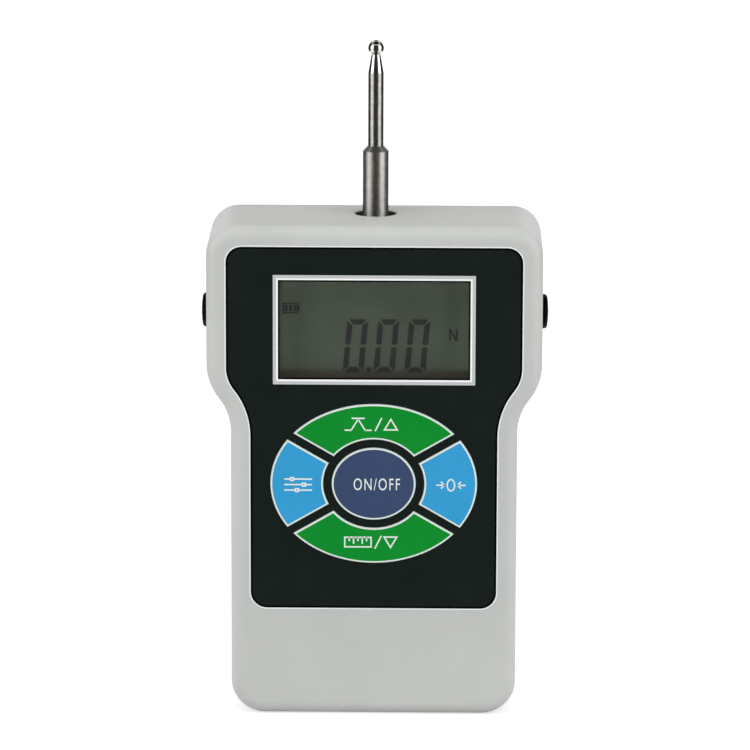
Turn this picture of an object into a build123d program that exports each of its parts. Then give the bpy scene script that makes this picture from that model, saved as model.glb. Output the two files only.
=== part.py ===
"""Handheld digital force gauge with a ball-tipped contact probe, in millimetres.

It stands upright on its flat foot. +Z runs up along the probe, the display faces -Y, and the
origin is under the middle of the foot. The case is as deep, wide and long as what it holds:
its outer sizes are summed from the stacks of pieces below.
"""
from build123d import *
import os
from math import cos, radians, sin, sqrt

os.makedirs("parts", exist_ok=True)

# ---------------------------------------------------------------- case mouldings
wall = 2.2
front_wall = 1.8
cover_plate = 2.2
head_corner = 6.7
foot_corner = 7.8
front_round = 3.0
rear_round = 1.8
inner_round = 1.0
waist_step = 5.55
waist_height = 16.0
waist_below_top = 32.3
panel_waist_drop = 0.35
lip_wall = 1.2
lip_depth = 2.0
lip_gap = 0.15
seam_width = 0.35
seam_depth = 0.25
rib_wall = 1.2
rib_height = 3.0
case_gap = 0.1
seat_gap = 0.05

# ---------------------------------------------------------------- membrane panel, front to back
overlay_sheet = 0.5
frame_sheet = 0.25
spacer_sheet = 0.5
circuit_sheet = 0.25
glue_line = 0.05
panel_side_margin = 4.6
panel_top_margin = 4.45
panel_corner = 3.6
panel_foot_corner = 3.8
panel_foot_margin = 10.85
panel_gap = 0.1
recess_break = 0.25
tail_width = 10.0
tail_sheet = 0.2
tail_reach = 3.7
tail_slot = 1.2

# ---------------------------------------------------------------- keys
pad_half_width = 23.75
pad_half_height = 18.75
ring_half_width = 11.65
ring_half_height = 10.45
power_half_width = 9.65
power_half_height = 8.5
band_angle = 30.0
band_width = 1.95
key_sheet = 0.5
key_travel = 0.25
key_edge = 0.15
key_gap = 0.1
pad_below_frame = 4.5
dome_radius = 3.4
dome_rise = 0.45
dome_sheet = 0.12
dome_rim = 0.6
dome_room = 0.3

# ---------------------------------------------------------------- display
view_width = 44.0
view_height = 23.2
frame_band = 1.15
view_lap = 0.6
glass_margin_x = 3.4
glass_margin_z = 3.65
glass_sheet = 1.1
contact_ledge = 2.2
reflector_sheet = 0.2
zebra_height = 4.2
zebra_width = 1.8
zebra_inset = 2.5
bezel_wall = 1.0
bezel_lip = 0.8
bezel_gap = 0.1
display_below_top = 23.7

# ---------------------------------------------------------------- circuit board
board_sheet = 1.6
board_edge_gap = 2.2
board_foot_gap = 0.2
board_rear_room = 2.65
board_post_outset = 3.5
board_post_drop = 7.3
board_post_rise = 5.0
board_post_inset = 1.0
chip_height = 1.6
connector_height = 2.5
connector_depth = 4.0
connector_wall = 1.2
connector_end = 1.5
connector_floor = 1.0
connector_base = 0.5
mouth_height = 0.6
header_height = 1.7
header_depth = 3.0
header_floor = 0.6
header_above_base = 1.3
flex_sheet = 0.15
flex_tab = 2.6
flex_rail = 1.8
flex_edge = 0.4
flex_tail = 6.0
chip_layout = {
    "controller": (0.0, 0.275, 0.295, 0.295),
    "converter": (-0.41, 0.29, 0.22, 0.3),
    "amplifier": (0.4, 0.36, 0.15, 0.18),
    "memory": (0.38, 0.1, 0.12, 0.15),
    "crystal": (-0.38, -0.065, 0.235, 0.105),
    "regulator": (0.06, -0.08, 0.175, 0.095),
}

# ---------------------------------------------------------------- fasteners
boss_wall = 1.0
case_screw_radius = 1.5
case_screw_head = 2.6
case_screw_head_height = 2.0
case_screw_grip = 1.6
case_screw_length = 11.0
chassis_screw_radius = 1.5
chassis_screw_head = 2.75
chassis_screw_length = 9.0
board_screw_radius = 1.1
board_screw_head = 2.1
board_screw_head_height = 1.5
board_screw_length = 6.0
thread_gap = 0.02
head_crown = 0.45
cross_reach = 0.58
cross_width = 0.26
cross_depth = 0.55
screw_gap = 0.15
counterbore_depth = 2.6

# ---------------------------------------------------------------- side buttons and switches
button_radius = 4.0
button_rise = 1.6
button_crown = 0.25
button_edge = 0.8
button_flange = 0.9
button_flange_sheet = 1.2
button_stem_radius = 1.6
button_gap = 0.15
button_above_display = 1.5
button_travel = 0.6
plunger_radius = 1.65
plunger_reach = 1.2
plunger_hold = 1.1
switch_side = 6.0
switch_length = 3.5
switch_setback = 2.6

# ---------------------------------------------------------------- load cell, chassis and shaft
cell_width = 30.0
cell_height = 34.0
cell_depth = 12.0
cell_arm = 8.0
cell_slot_room = 0.4
cell_neck = 4.5
cell_bore = 5.5
cell_bore_spread = 7.0
cell_bridge = 4.0
cell_thread_depth = 7.0
cell_rear_gap = 0.35
gauge_foil = 0.15
gauge_width = 5.2
chassis_sheet = 2.8
chassis_ledge = 4.5
chassis_corner = 2.0
chassis_ear = 3.5
chassis_post_rise = 6.3
chassis_post_outset = 2.2
stand_hole_radius = 1.65
stand_hole_gap = 4.0
stand_hole_spread = 24.0
stand_hole_land = 4.5
stand_access = 2.75
foot_screw_radius = 2.5
foot_screw_head = 4.25
foot_screw_head_height = 3.2
foot_screw_gap = 0.45
foot_screw_socket = 3.0
foot_screw_socket_depth = 1.8
screw_end_room = 1.0
shaft_radius = 3.0
shaft_collar = 4.0
shaft_collar_height = 2.0
shaft_flats = 6.4
shaft_root_room = 0.5
shaft_neck_length = 6.8
lock_nut_flats = 10.0
lock_nut_height = 3.0
stud_radius = 2.0
stud_length = 12.0
stud_break = 0.4
probe_hole_gap = 1.8
probe_hole_break = 0.3
probe_travel = 0.3

# ---------------------------------------------------------------- contact probe
sleeve_entry = 1.3
sleeve_length = 18.1
sleeve_foot_break = 0.3
rod_radius = 1.8
rod_length = 17.0
cone_length = 4.1
neck_radius = 1.05
ball_radius = 1.85
stud_end_room = 0.6

# ---------------------------------------------------------------- battery and its bay
battery_width = 26.5
battery_depth = 17.5
battery_body = 46.4
battery_round = 2.0
terminal_height = 2.1
terminal_pitch = 12.7
stud_terminal_radius = 2.9
socket_terminal_radius = 4.2
snap_cap_height = 4.2
snap_cap_width = 24.6
snap_cap_depth = 12.4
snap_cap_round = 3.0
socket_floor = 0.4
bay_gap = 0.5
bay_wall = 1.25
bay_base = 4.8
bay_head_room = 4.9
battery_seat_gap = 0.2
lead_radius = 0.65
lead_pitch = 1.7
lead_bend = 2.7
lead_outreach = 3.5
lead_board_rise = 2.8
pad_sheet = 1.6
pad_corner = 1.0
door_sheet = 1.3
door_ledge = 1.6
door_gap = 0.15
door_corner = 2.5
door_skirt = 1.3
door_skirt_wall = 1.2
door_latch_width = 8.0
finger_radius = 7.0
finger_depth = 0.6
finger_rib = 0.8
finger_rib_pitch = 2.2

# ---------------------------------------------------------------- stacks through the depth (Y)
key_rise = key_travel + seat_gap
recess_depth = overlay_sheet + spacer_sheet + circuit_sheet + glue_line
display_stack = case_gap + bezel_lip + glass_sheet + zebra_height
board_stack = board_sheet + board_rear_room
chassis_stack = cell_depth + cell_rear_gap + chassis_sheet + case_gap
case_depth = recess_depth + front_wall + display_stack + board_stack + chassis_stack + cover_plate

front_y = -case_depth / 2
overlay_back_y = front_y + overlay_sheet
spacer_back_y = overlay_back_y + spacer_sheet
circuit_back_y = spacer_back_y + circuit_sheet
recess_y = front_y + recess_depth
inner_front_y = recess_y + front_wall
bezel_front_y = inner_front_y + case_gap
glass_front_y = bezel_front_y + bezel_lip
glass_step_y = glass_front_y + glass_sheet
glass_back_y = glass_step_y + glass_sheet
board_front_y = glass_step_y + zebra_height
board_back_y = board_front_y + board_sheet
cell_front_y = board_back_y + board_rear_room
cell_back_y = cell_front_y + cell_depth
axis_y = (cell_front_y + cell_back_y) / 2
chassis_front_y = cell_back_y + cell_rear_gap
chassis_back_y = chassis_front_y + chassis_sheet
parting_y = chassis_back_y + case_gap
rear_y = parting_y + cover_plate
button_y = (front_y + rear_y) / 2

# ---------------------------------------------------------------- stack up the height (Z)
battery_base_z = bay_base + battery_seat_gap
battery_top_z = battery_base_z + battery_body
bay_top_z = battery_top_z + bay_head_room
ledge_base_z = bay_top_z + bay_wall + foot_screw_gap + foot_screw_head_height
cell_base_z = ledge_base_z + chassis_ledge
cell_top_z = cell_base_z + cell_height
nut_top_z = cell_top_z + lock_nut_height
shaft_top_z = nut_top_z + shaft_collar_height + shaft_neck_length
case_length = shaft_top_z + sleeve_entry + wall
waist_top_z = case_length - waist_below_top
waist_low_z = waist_top_z - waist_height
display_z = case_length - display_below_top
frame_width = view_width + 2 * frame_band
frame_height = view_height + 2 * frame_band
pad_z = display_z - frame_height / 2 - pad_below_frame - pad_half_height
panel_base_z = pad_z - pad_half_height - panel_foot_margin
button_z = display_z + button_above_display
sleeve_top_z = shaft_top_z + sleeve_length
shoulder_top_z = sleeve_top_z + shaft_radius - rod_radius
cone_base_z = shoulder_top_z + rod_length
ball_z = cone_base_z + cone_length + sqrt(ball_radius**2 - neck_radius**2)

# ---------------------------------------------------------------- stack across the width (X)
glass_width = view_width + 2 * glass_margin_x
glass_height = view_height + 2 * glass_margin_z
bezel_half = glass_width / 2 + bezel_gap + bezel_wall
post_radius = chassis_screw_radius + 1.5 * boss_wall
shoulder_radius = post_radius + 0.6
upper_post_x = bezel_half + 4 * case_gap + shoulder_radius
head_half = upper_post_x + shoulder_radius + button_flange_sheet + boss_wall + wall
grip_half = head_half - waist_step
waist_radius = (waist_height**2 + waist_step**2) / (4 * waist_step)

# ---------------------------------------------------------------- screw places
boss_radius = case_screw_radius + 2 * boss_wall
cover_boss_radius = case_screw_head + screw_gap + 1.45 * boss_wall
head_screw_x = head_half - wall - cover_boss_radius - boss_wall
head_screw_z = case_length - wall - cover_boss_radius - 0.3 * boss_wall
foot_screw_x = grip_half - wall - cover_boss_radius - 0.6 * boss_wall
foot_screw_z = wall + cover_boss_radius + 0.8 * boss_wall
counterbore_y = rear_y - counterbore_depth
boss_top_y = counterbore_y - case_screw_grip
upper_post_z = head_screw_z - cover_boss_radius - chassis_ear - case_gap
lower_post_x = cell_width / 2 + stand_hole_gap + stand_hole_land + chassis_post_outset
lower_post_z = ledge_base_z + chassis_post_rise
board_base_z = ledge_base_z - board_foot_gap
case_screws = [(s * head_screw_x, head_screw_z) for s in (-1, 1)]
case_screws += [(s * foot_screw_x, foot_screw_z) for s in (-1, 1)]
chassis_posts = [(s * upper_post_x, upper_post_z) for s in (-1, 1)]
chassis_posts += [(s * lower_post_x, lower_post_z) for s in (-1, 1)]
board_posts = [(s * (bezel_half + board_post_outset), display_z - board_post_drop)
               for s in (-1, 1)]
board_posts += [(s * (cell_width / 2 - board_post_inset), board_base_z + board_post_rise)
                for s in (-1, 1)]
stand_x = cell_width / 2 + stand_hole_gap
stand_z = (cell_base_z + cell_top_z) / 2
cell_slot = 2 * probe_travel + cell_slot_room
stand_holes = [(sx * stand_x, stand_z + sz * stand_hole_spread / 2)
               for sx in (-1, 1) for sz in (-1, 1)]
dome_places = {
    "key_peak_up": (0.0, pad_z + (pad_half_height + ring_half_height) / 2),
    "key_unit_down": (0.0, pad_z - (pad_half_height + ring_half_height) / 2),
    "key_set": (-(pad_half_width + ring_half_width) / 2, pad_z),
    "key_zero": ((pad_half_width + ring_half_width) / 2, pad_z),
    "key_power": (0.0, pad_z),
}


# ================================================================ helpers
def block(x0, x1, y0, y1, z0, z1):
    """Box between two corners."""
    centre = Pos((x0 + x1) / 2, (y0 + y1) / 2, (z0 + z1) / 2)
    return centre * Box(x1 - x0, y1 - y0, z1 - z0)


def bar_x(y, z, radius, x0, x1):
    """Round bar along X."""
    return Pos((x0 + x1) / 2, y, z) * Cylinder(radius, x1 - x0, rotation=(0, 90, 0))


def bar_y(x, z, radius, y0, y1):
    """Round bar along Y."""
    return Pos(x, (y0 + y1) / 2, z) * Cylinder(radius, y1 - y0, rotation=(90, 0, 0))


def bar_z(x, y, radius, z0, z1):
    """Round bar along Z."""
    return Pos(x, y, (z0 + z1) / 2) * Cylinder(radius, z1 - z0)


def slab(outline, y0, y1):
    """Outline drawn in X and Z, thickened from y0 back to y1."""
    plane = Plane((0, y1, 0), x_dir=(1, 0, 0), z_dir=(0, -1, 0))
    return extrude(plane * outline, amount=y1 - y0)


def plate(x, z, width, height, y0, y1, corner=0.0):
    """Rectangular plate facing Y, centred on x and z, with rounded corners."""
    shape = RectangleRounded(width, height, corner) if corner else Rectangle(width, height)
    return slab(Pos(x, z) * shape, y0, y1)


def turned(points, x=0.0, y=0.0):
    """Solid turned about Z from (radius, z) points; a third value marks a middle arc point."""
    edges = []
    ring = points if points[-1][:2] == points[0][:2] else points + points[:1]
    for start, end in zip(ring, ring[1:]):
        if len(end) == 4:
            edges.append(ThreePointArc(start[:2], end[2:], end[:2]))
        else:
            edges.append(Line(start[:2], end[:2]))
    profile = Plane.XZ * make_face(edges)
    return Pos(x, y, 0) * revolve(profile, Axis.Z)


def crown_point(edge_radius, rise, radius):
    """Height at radius of a spherical crown that rises by rise inside edge_radius."""
    sphere = (edge_radius**2 + rise**2) / (2 * rise)
    return rise - sphere + sqrt(sphere**2 - radius**2)


def waisted(inset, top_inset, base_z, top_corner, foot_corner_radius, waist_drop=0.0):
    """Face bounded by the case's waisted outline, brought in by inset at the sides."""
    head = head_half - inset
    grip = grip_half - inset
    top_z = case_length - top_inset
    high = waist_top_z - waist_drop
    low = waist_low_z - waist_drop
    upper = (head_half - waist_radius, high)
    lower = (grip_half + waist_radius, low)
    reach = sqrt((lower[0] - upper[0]) ** 2 + (lower[1] - upper[1]) ** 2)
    share = (waist_radius - inset) / reach
    joint = (upper[0] + share * (lower[0] - upper[0]), upper[1] + share * (lower[1] - upper[1]))
    upper_mid = arc_middle(upper, waist_radius - inset, (head, high), joint)
    lower_mid = arc_middle(lower, waist_radius + inset, (grip, low), joint)
    foot_x = grip - foot_corner_radius
    top_x = head - top_corner
    edges = [
        Line((0, base_z), (foot_x, base_z)),
        CenterArc((foot_x, base_z + foot_corner_radius), foot_corner_radius, 270, 90),
        Line((grip, base_z + foot_corner_radius), (grip, low)),
        ThreePointArc((grip, low), lower_mid, joint),
        ThreePointArc(joint, upper_mid, (head, high)),
        Line((head, high), (head, top_z - top_corner)),
        CenterArc((top_x, top_z - top_corner), top_corner, 0, 90),
        Line((top_x, top_z), (0, top_z)),
    ]
    other_side = [mirror(edge, about=Plane.YZ) for edge in edges]
    return make_face(edges + other_side)


def arc_middle(centre, radius, start, end):
    """Point halfway along the short arc from start to end about centre."""
    mid_x = (start[0] + end[0]) / 2 - centre[0]
    mid_y = (start[1] + end[1]) / 2 - centre[1]
    length = sqrt(mid_x**2 + mid_y**2)
    return (centre[0] + radius * mid_x / length, centre[1] + radius * mid_y / length)


def case_outline(inset=0.0):
    """The case's outline, brought in by inset all round."""
    return waisted(inset, inset, inset, head_corner - inset, foot_corner - inset)


def panel_outline(grow=0.0):
    """The membrane panel's outline, larger by grow all round."""
    return waisted(panel_side_margin - grow, panel_top_margin - grow, panel_base_z - grow,
                   panel_corner + grow, panel_foot_corner + grow, panel_waist_drop)


def key_faces(grow=0.0):
    """Faces of the five keys by node name, larger by grow all round."""
    pad = Ellipse(pad_half_width + grow, pad_half_height + grow)
    ring = Ellipse(ring_half_width - grow, ring_half_height - grow)
    band = Rectangle(3 * pad_half_width, band_width - 2 * grow)
    segments = (pad - ring - Rot(0, 0, band_angle) * band - Rot(0, 0, -band_angle) * band).faces()
    by_height = segments.sort_by(Axis.Y)
    by_side = segments.sort_by(Axis.X)
    faces = {
        "key_peak_up": by_height[-1],
        "key_unit_down": by_height[0],
        "key_set": by_side[0],
        "key_zero": by_side[-1],
        "key_power": Ellipse(power_half_width + grow, power_half_height + grow).face(),
    }
    return {name: Pos(0, pad_z) * face for name, face in faces.items()}


def pan_screw(x, z, seat_y, head_radius, head_height, radius, length):
    """Pan-head screw seated at seat_y, its head towards +Y and its point towards -Y."""
    head = bar_y(x, z, head_radius, seat_y, seat_y + head_height)
    rim = head.faces().sort_by(Axis.Y)[-1].edges()
    head = fillet(rim, head_height * head_crown)
    head -= cross_recess(x, z, seat_y + head_height, head_radius, head_height)
    return head + bar_y(x, z, radius, seat_y - length, seat_y)


def cross_recess(x, z, top_y, head_radius, head_height):
    """Cross for the driver in a screw head whose top is at top_y."""
    reach = head_radius * cross_reach
    half = head_radius * cross_width / 2
    floor_y = top_y - head_height * cross_depth
    return (block(x - reach, x + reach, floor_y, top_y, z - half, z + half)
            + block(x - half, x + half, floor_y, top_y, z - reach, z + reach))


# ================================================================ case
def front_housing():
    """Waisted tub with the panel's recess, the screw bosses and the holes for probe and buttons."""
    body = slab(case_outline(), front_y, parting_y)
    body = fillet(body.faces().sort_by(Axis.Y)[0].edges(), front_round)
    cavity = slab(case_outline(wall), inner_front_y, parting_y)
    cavity = fillet(cavity.faces().sort_by(Axis.Y)[0].edges(), inner_round)
    body -= cavity
    body -= slab(panel_outline(panel_gap), front_y, recess_y)
    recess_edges = body.faces().filter_by(Axis.Y).sort_by(Axis.Y)[0].inner_wires()[0].edges()
    body = fillet(recess_edges, recess_break)
    body -= plate(0, display_z, view_width + 2 * view_lap, view_height + 2 * view_lap,
                  recess_y, inner_front_y)
    body -= plate(0, tail_z(), tail_width + 4 * case_gap, tail_slot, recess_y, inner_front_y)
    for x, z in case_screws:
        body += bar_y(x, z, boss_radius, inner_front_y, boss_top_y - case_gap)
    for x, z in chassis_posts:
        body += bar_y(x, z, shoulder_radius, inner_front_y, board_front_y)
        body += bar_y(x, z, post_radius, inner_front_y, chassis_front_y)
    for x, z in board_posts:
        body += bar_y(x, z, board_screw_radius + boss_wall, inner_front_y, board_front_y)
    body += grip_ribs()
    for x, z in case_screws:
        body -= bar_y(x, z, case_screw_radius + thread_gap,
                      boss_top_y - case_gap - case_screw_length, boss_top_y)
    for x, z in chassis_posts:
        body -= bar_y(x, z, chassis_screw_radius + thread_gap,
                      chassis_front_y - chassis_screw_length, chassis_front_y)
    for x, z in board_posts:
        body -= bar_y(x, z, board_screw_radius + thread_gap,
                      board_back_y - board_screw_length - case_gap, board_front_y)
    hole_radius = shaft_radius + probe_hole_gap
    body -= bar_z(0, axis_y, hole_radius, case_length - 2 * wall, case_length)
    body -= (Pos(0, axis_y, case_length - probe_hole_break / 2)
             * Cone(hole_radius, hole_radius + probe_hole_break, probe_hole_break))
    body -= bar_x(button_y, button_z, button_radius + button_gap, -head_half, head_half)
    return body


def grip_ribs():
    """Cross ribs that stiffen the front wall under the battery bay."""
    span = grip_half - wall / 2
    count = 3
    first = foot_corner + 2 * wall
    pitch = (waist_low_z - 2 * first) / (count - 1)
    ribs = [block(-span, span, inner_front_y, inner_front_y + rib_height,
                  first + i * pitch, first + i * pitch + rib_wall) for i in range(count)]
    spine = block(-rib_wall / 2, rib_wall / 2, inner_front_y, inner_front_y + rib_height,
                  wall / 2, first + (count - 1) * pitch)
    return Part() + ribs + spine


def tail_z():
    """Height at which the membrane's tail passes through the front wall."""
    return board_base_z + connector_depth + 2 * tail_reach


def rear_cover():
    """Flat cover with the battery bay; a narrow groove round it marks where it meets the tub."""
    body = slab(case_outline(), parting_y, rear_y)
    body = fillet(body.faces().sort_by(Axis.Y)[-1].edges(), rear_round)
    body -= (slab(case_outline(-seam_depth), parting_y, parting_y + seam_width)
             - slab(case_outline(seam_depth), parting_y, parting_y + seam_width))
    lip_in = wall + lip_gap
    body += (slab(case_outline(lip_in), parting_y - lip_depth, parting_y)
             - slab(case_outline(lip_in + lip_wall), parting_y - lip_depth, parting_y))
    for x, z in case_screws:
        body += bar_y(x, z, cover_boss_radius, boss_top_y, parting_y)
    bay_half = battery_width / 2 + bay_gap
    bay_front = battery_front_y() - battery_seat_gap
    body += block(-bay_half - bay_wall, bay_half + bay_wall, bay_front - bay_wall, parting_y,
                  bay_base - bay_wall, bay_top_z + bay_wall)
    body -= block(-bay_half, bay_half, bay_front, rear_y, bay_base, bay_top_z)
    body -= plate(0, door_z(), 2 * bay_half + 2 * door_ledge, door_height(),
                  rear_y - door_sheet - seat_gap, rear_y, door_corner)
    lead_y = axis_y - lead_pitch
    body -= block(-bay_half - bay_wall, -bay_half, lead_y - 2 * lead_radius,
                  lead_y + lead_pitch + 2 * lead_radius, lead_z() - 2 * lead_radius,
                  lead_z() + 2 * lead_radius)
    for x, z in case_screws:
        body -= bar_y(x, z, case_screw_radius + screw_gap, boss_top_y, rear_y)
        body -= bar_y(x, z, case_screw_head + screw_gap, counterbore_y, rear_y)
    for x, z in stand_holes:
        body -= bar_y(x, z, stand_access, parting_y, rear_y)
    return body


def door_z():
    """Middle height of the battery door."""
    return (bay_base + bay_top_z) / 2


def door_height():
    """Height of the recess that the battery door lies in."""
    return bay_top_z - bay_base + 2 * door_ledge


def battery_rear_y():
    return rear_y - door_sheet - pad_sheet


def battery_front_y():
    return battery_rear_y() - battery_depth


def lead_z():
    """Height at which the battery leads leave the snap cap."""
    return battery_top_z + snap_cap_height / 2 + battery_seat_gap


def battery_door():
    bay_half = battery_width / 2 + bay_gap
    inner_y = rear_y - door_sheet
    width = 2 * (bay_half + door_ledge - door_gap)
    height = door_height() - 2 * door_gap
    body = plate(0, door_z(), width, height, inner_y, rear_y, door_corner - door_gap)
    skirt_width = 2 * (bay_half - door_gap)
    skirt_height = bay_top_z - bay_base - 2 * door_gap
    skirt_y = inner_y - door_skirt
    body += (plate(0, door_z(), skirt_width, skirt_height, skirt_y, inner_y)
             - plate(0, door_z(), skirt_width - 2 * door_skirt_wall,
                     skirt_height - 2 * door_skirt_wall, skirt_y, inner_y))
    latch_top = bay_top_z - door_gap
    latch_end_y = battery_axis_y() + snap_cap_depth / 2 + bay_gap
    body += block(-door_latch_width / 2, door_latch_width / 2, latch_end_y, inner_y,
                  latch_top - door_skirt_wall, latch_top)
    finger_z = bay_top_z - 1.4 * finger_radius
    scoop = bar_y(0, finger_z, finger_radius, rear_y - finger_depth, rear_y)
    scoop -= block(-finger_radius, finger_radius, rear_y - finger_depth, rear_y,
                   finger_z + finger_rib_pitch, finger_z + finger_radius)
    body -= scoop
    for step in range(-2, 1):
        rib_z = finger_z + step * finger_rib_pitch
        half = sqrt(finger_radius**2 - (step * finger_rib_pitch) ** 2) - finger_rib
        body += block(-half, half, rear_y - finger_depth, rear_y - finger_depth / 3,
                      rib_z - finger_rib / 2, rib_z + finger_rib / 2)
    return body


def battery_pad():
    """Foam pad inside the door that keeps the battery from rattling."""
    edge = door_skirt_wall + bay_gap
    return plate(0, battery_base_z + battery_body / 2, battery_width - 2 * edge,
                 battery_body - 2 * edge, battery_rear_y(), rear_y - door_sheet, pad_corner)


# ================================================================ membrane panel
def membrane_overlay():
    sheet = slab(panel_outline(), front_y, overlay_back_y)
    sheet -= plate(0, display_z, frame_width, frame_height, front_y, overlay_back_y)
    for face in key_faces(key_gap).values():
        sheet -= slab(face, front_y, overlay_back_y)
    return sheet


def window_frame():
    return (plate(0, display_z, frame_width, frame_height, front_y, front_y + frame_sheet)
            - plate(0, display_z, view_width, view_height, front_y, front_y + frame_sheet))


def display_window():
    return plate(0, display_z, frame_width, frame_height, front_y + frame_sheet, overlay_back_y)


def key_pad(face):
    body = slab(face, front_y - key_rise, front_y - key_rise + key_sheet)
    return chamfer(body.faces().sort_by(Axis.Y)[0].edges(), key_edge)


def dome_spacer():
    sheet = slab(panel_outline(), overlay_back_y, spacer_back_y)
    sheet -= plate(0, display_z, view_width + 2 * view_lap, view_height + 2 * view_lap,
                   overlay_back_y, spacer_back_y)
    for x, z in dome_places.values():
        sheet -= bar_y(x, z, dome_radius + dome_room, overlay_back_y, spacer_back_y)
    return sheet


def snap_dome(x, z):
    """Sprung metal dome, its rim on the circuit sheet and its crown towards the key."""
    hollow_radius = dome_radius - dome_rim
    hollow_rise = dome_rise - dome_sheet
    points = [
        (hollow_radius, 0),
        (dome_radius, 0),
        (0, dome_rise, dome_radius / 2, crown_point(dome_radius, dome_rise, dome_radius / 2)),
        (0, hollow_rise),
    ]
    cap = turned(points + [(hollow_radius, 0, hollow_radius / 2,
                            crown_point(hollow_radius, hollow_rise, hollow_radius / 2))])
    return Pos(x, spacer_back_y, z) * Rot(90, 0, 0) * cap


def membrane_circuit():
    sheet = slab(panel_outline(), spacer_back_y, circuit_back_y)
    sheet -= plate(0, display_z, view_width + 2 * view_lap, view_height + 2 * view_lap,
                   spacer_back_y, circuit_back_y)
    level = tail_z() - tail_sheet / 2
    turn_y = board_front_y - connector_height / 2
    sheet += block(-tail_width / 2, tail_width / 2, circuit_back_y, turn_y,
                   level, level + tail_sheet)
    sheet += block(-tail_width / 2, tail_width / 2, turn_y - tail_sheet, turn_y,
                   board_base_z + connector_depth + tail_reach / 4, level + tail_sheet)
    return sheet


# ================================================================ display
def lcd_glass():
    """Two bonded glass plates; the front one overhangs as the contact ledge."""
    front = plate(0, display_z, glass_width, glass_height, glass_front_y, glass_step_y)
    rear = plate(0, display_z, glass_width, glass_height - 2 * contact_ledge,
                 glass_step_y, glass_back_y)
    return front + rear


def lcd_reflector():
    return plate(0, display_z, glass_width - 1.0, glass_height - 2 * contact_ledge - 1.0,
                 glass_back_y, glass_back_y + reflector_sheet)


def zebra_strips():
    half = glass_width / 2 - zebra_inset
    top = display_z + glass_height / 2
    base = display_z - glass_height / 2
    edge = (contact_ledge - zebra_width) / 2
    return [
        block(-half, half, glass_step_y, board_front_y, base + edge, base + edge + zebra_width),
        block(-half, half, glass_step_y, board_front_y, top - edge - zebra_width, top - edge),
    ]


def lcd_bezel():
    outer_w = glass_width + 2 * (bezel_gap + bezel_wall)
    outer_h = glass_height + 2 * (bezel_gap + bezel_wall)
    frame = plate(0, display_z, outer_w, outer_h, bezel_front_y, board_front_y, bezel_wall)
    frame -= plate(0, display_z, glass_width + 2 * bezel_gap, glass_height + 2 * bezel_gap,
                   glass_front_y, board_front_y)
    return frame - plate(0, display_z, view_width + 2 * view_lap, view_height + 2 * view_lap,
                         bezel_front_y, glass_front_y)


# ================================================================ circuit board
def main_board():
    inset = wall + board_edge_gap
    body = slab(case_outline(inset), board_front_y, board_back_y)
    body -= block(-head_half, head_half, board_front_y, board_back_y, 0, board_base_z)
    for x, z in case_screws[:2]:
        body -= bar_y(x, z, boss_radius + 5 * case_gap, board_front_y, board_back_y)
    for x, z in chassis_posts:
        body -= bar_y(x, z, post_radius + case_gap, board_front_y, board_back_y)
    for x, z in board_posts:
        body -= bar_y(x, z, board_screw_radius + screw_gap, board_front_y, board_back_y)
    return body


def board_chips():
    """Chips on the board's rear face, placed and sized as shares of the beam's height."""
    chips = []
    for shares in chip_layout.values():
        x, rise, width, height = (share * cell_height for share in shares)
        chips.append(plate(x, stand_z + rise, width, height, board_back_y,
                           board_back_y + chip_height))
    return chips


def tail_connector():
    half = tail_width / 2 + connector_end
    base = board_base_z + connector_base
    top = base + connector_depth
    mouth_y = board_front_y - connector_height / 2 - tail_sheet / 2
    body = block(-half, half, board_front_y - connector_height, board_front_y, base, top)
    return body - block(-half + connector_wall, half - connector_wall,
                        mouth_y - mouth_height / 2, mouth_y + mouth_height / 2,
                        base + connector_floor, top)


def header_base():
    """Height of the underside of the gauge header."""
    return cell_base_z + header_above_base


def flex_plane():
    """Depth of the flex tail's front face where it stands in the header."""
    return board_back_y + header_height / 2


def gauge_header():
    """Low socket on the board's rear face that takes the gauge flex's tail."""
    half = flex_tail / 2 + connector_wall
    top = header_base() + header_depth
    mouth_y = flex_plane() + flex_sheet / 2
    body = block(-half, half, board_back_y, board_back_y + header_height, header_base(), top)
    return body - block(-half + connector_wall / 2, half - connector_wall / 2,
                        mouth_y - mouth_height / 2, mouth_y + mouth_height / 2,
                        header_base() + header_floor, top)


# ================================================================ side buttons and switches
def side_button(side):
    """Domed round push button with its retaining flange and stem, on side -1 or 1."""
    tip = head_half + button_rise
    seat = head_half - wall - case_gap
    flange_in = seat - button_flange_sheet
    stem_end = plunger_tip() + seat_gap
    crown_edge = button_radius - button_edge
    inward = button_edge * (1 - cos(radians(45)))
    points = [
        (0, stem_end),
        (button_stem_radius, stem_end),
        (button_stem_radius, flange_in),
        (button_radius + button_flange, flange_in),
        (button_radius + button_flange, seat),
        (button_radius, seat),
        (button_radius, tip - button_crown - button_edge),
        (crown_edge, tip - button_crown, button_radius - inward, tip - button_crown - inward),
        (0, tip, crown_edge / 2,
         tip - button_crown + crown_point(crown_edge, button_crown, crown_edge / 2)),
    ]
    return Pos(0, button_y, button_z) * Rot(0, side * 90, 0) * turned(points)


def plunger_tip():
    """Distance of the switch plunger's end from the middle plane."""
    return head_half - wall - button_flange_sheet - switch_setback + plunger_reach / 6


def switch_face():
    """Distance of the switch's front from the middle plane."""
    return plunger_tip() - plunger_reach


def side_switch(side):
    """Right-angle push switch soldered to the board's rear face."""
    face = switch_face()
    low = side * face
    high = side * (face - switch_length)
    half = switch_side / 2
    body = block(min(low, high), max(low, high), button_y - half, button_y + half,
                 button_z - half, button_z + half)
    foot = block(min(low, high), max(low, high), board_back_y, button_y - half,
                 button_z - half + 1.0, button_z + half - 1.0)
    bore_end = side * (face - plunger_hold - button_travel - 0.3)
    bore = bar_x(button_y, button_z, plunger_radius + case_gap, min(low, bore_end),
                 max(low, bore_end))
    return body + foot - bore


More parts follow.
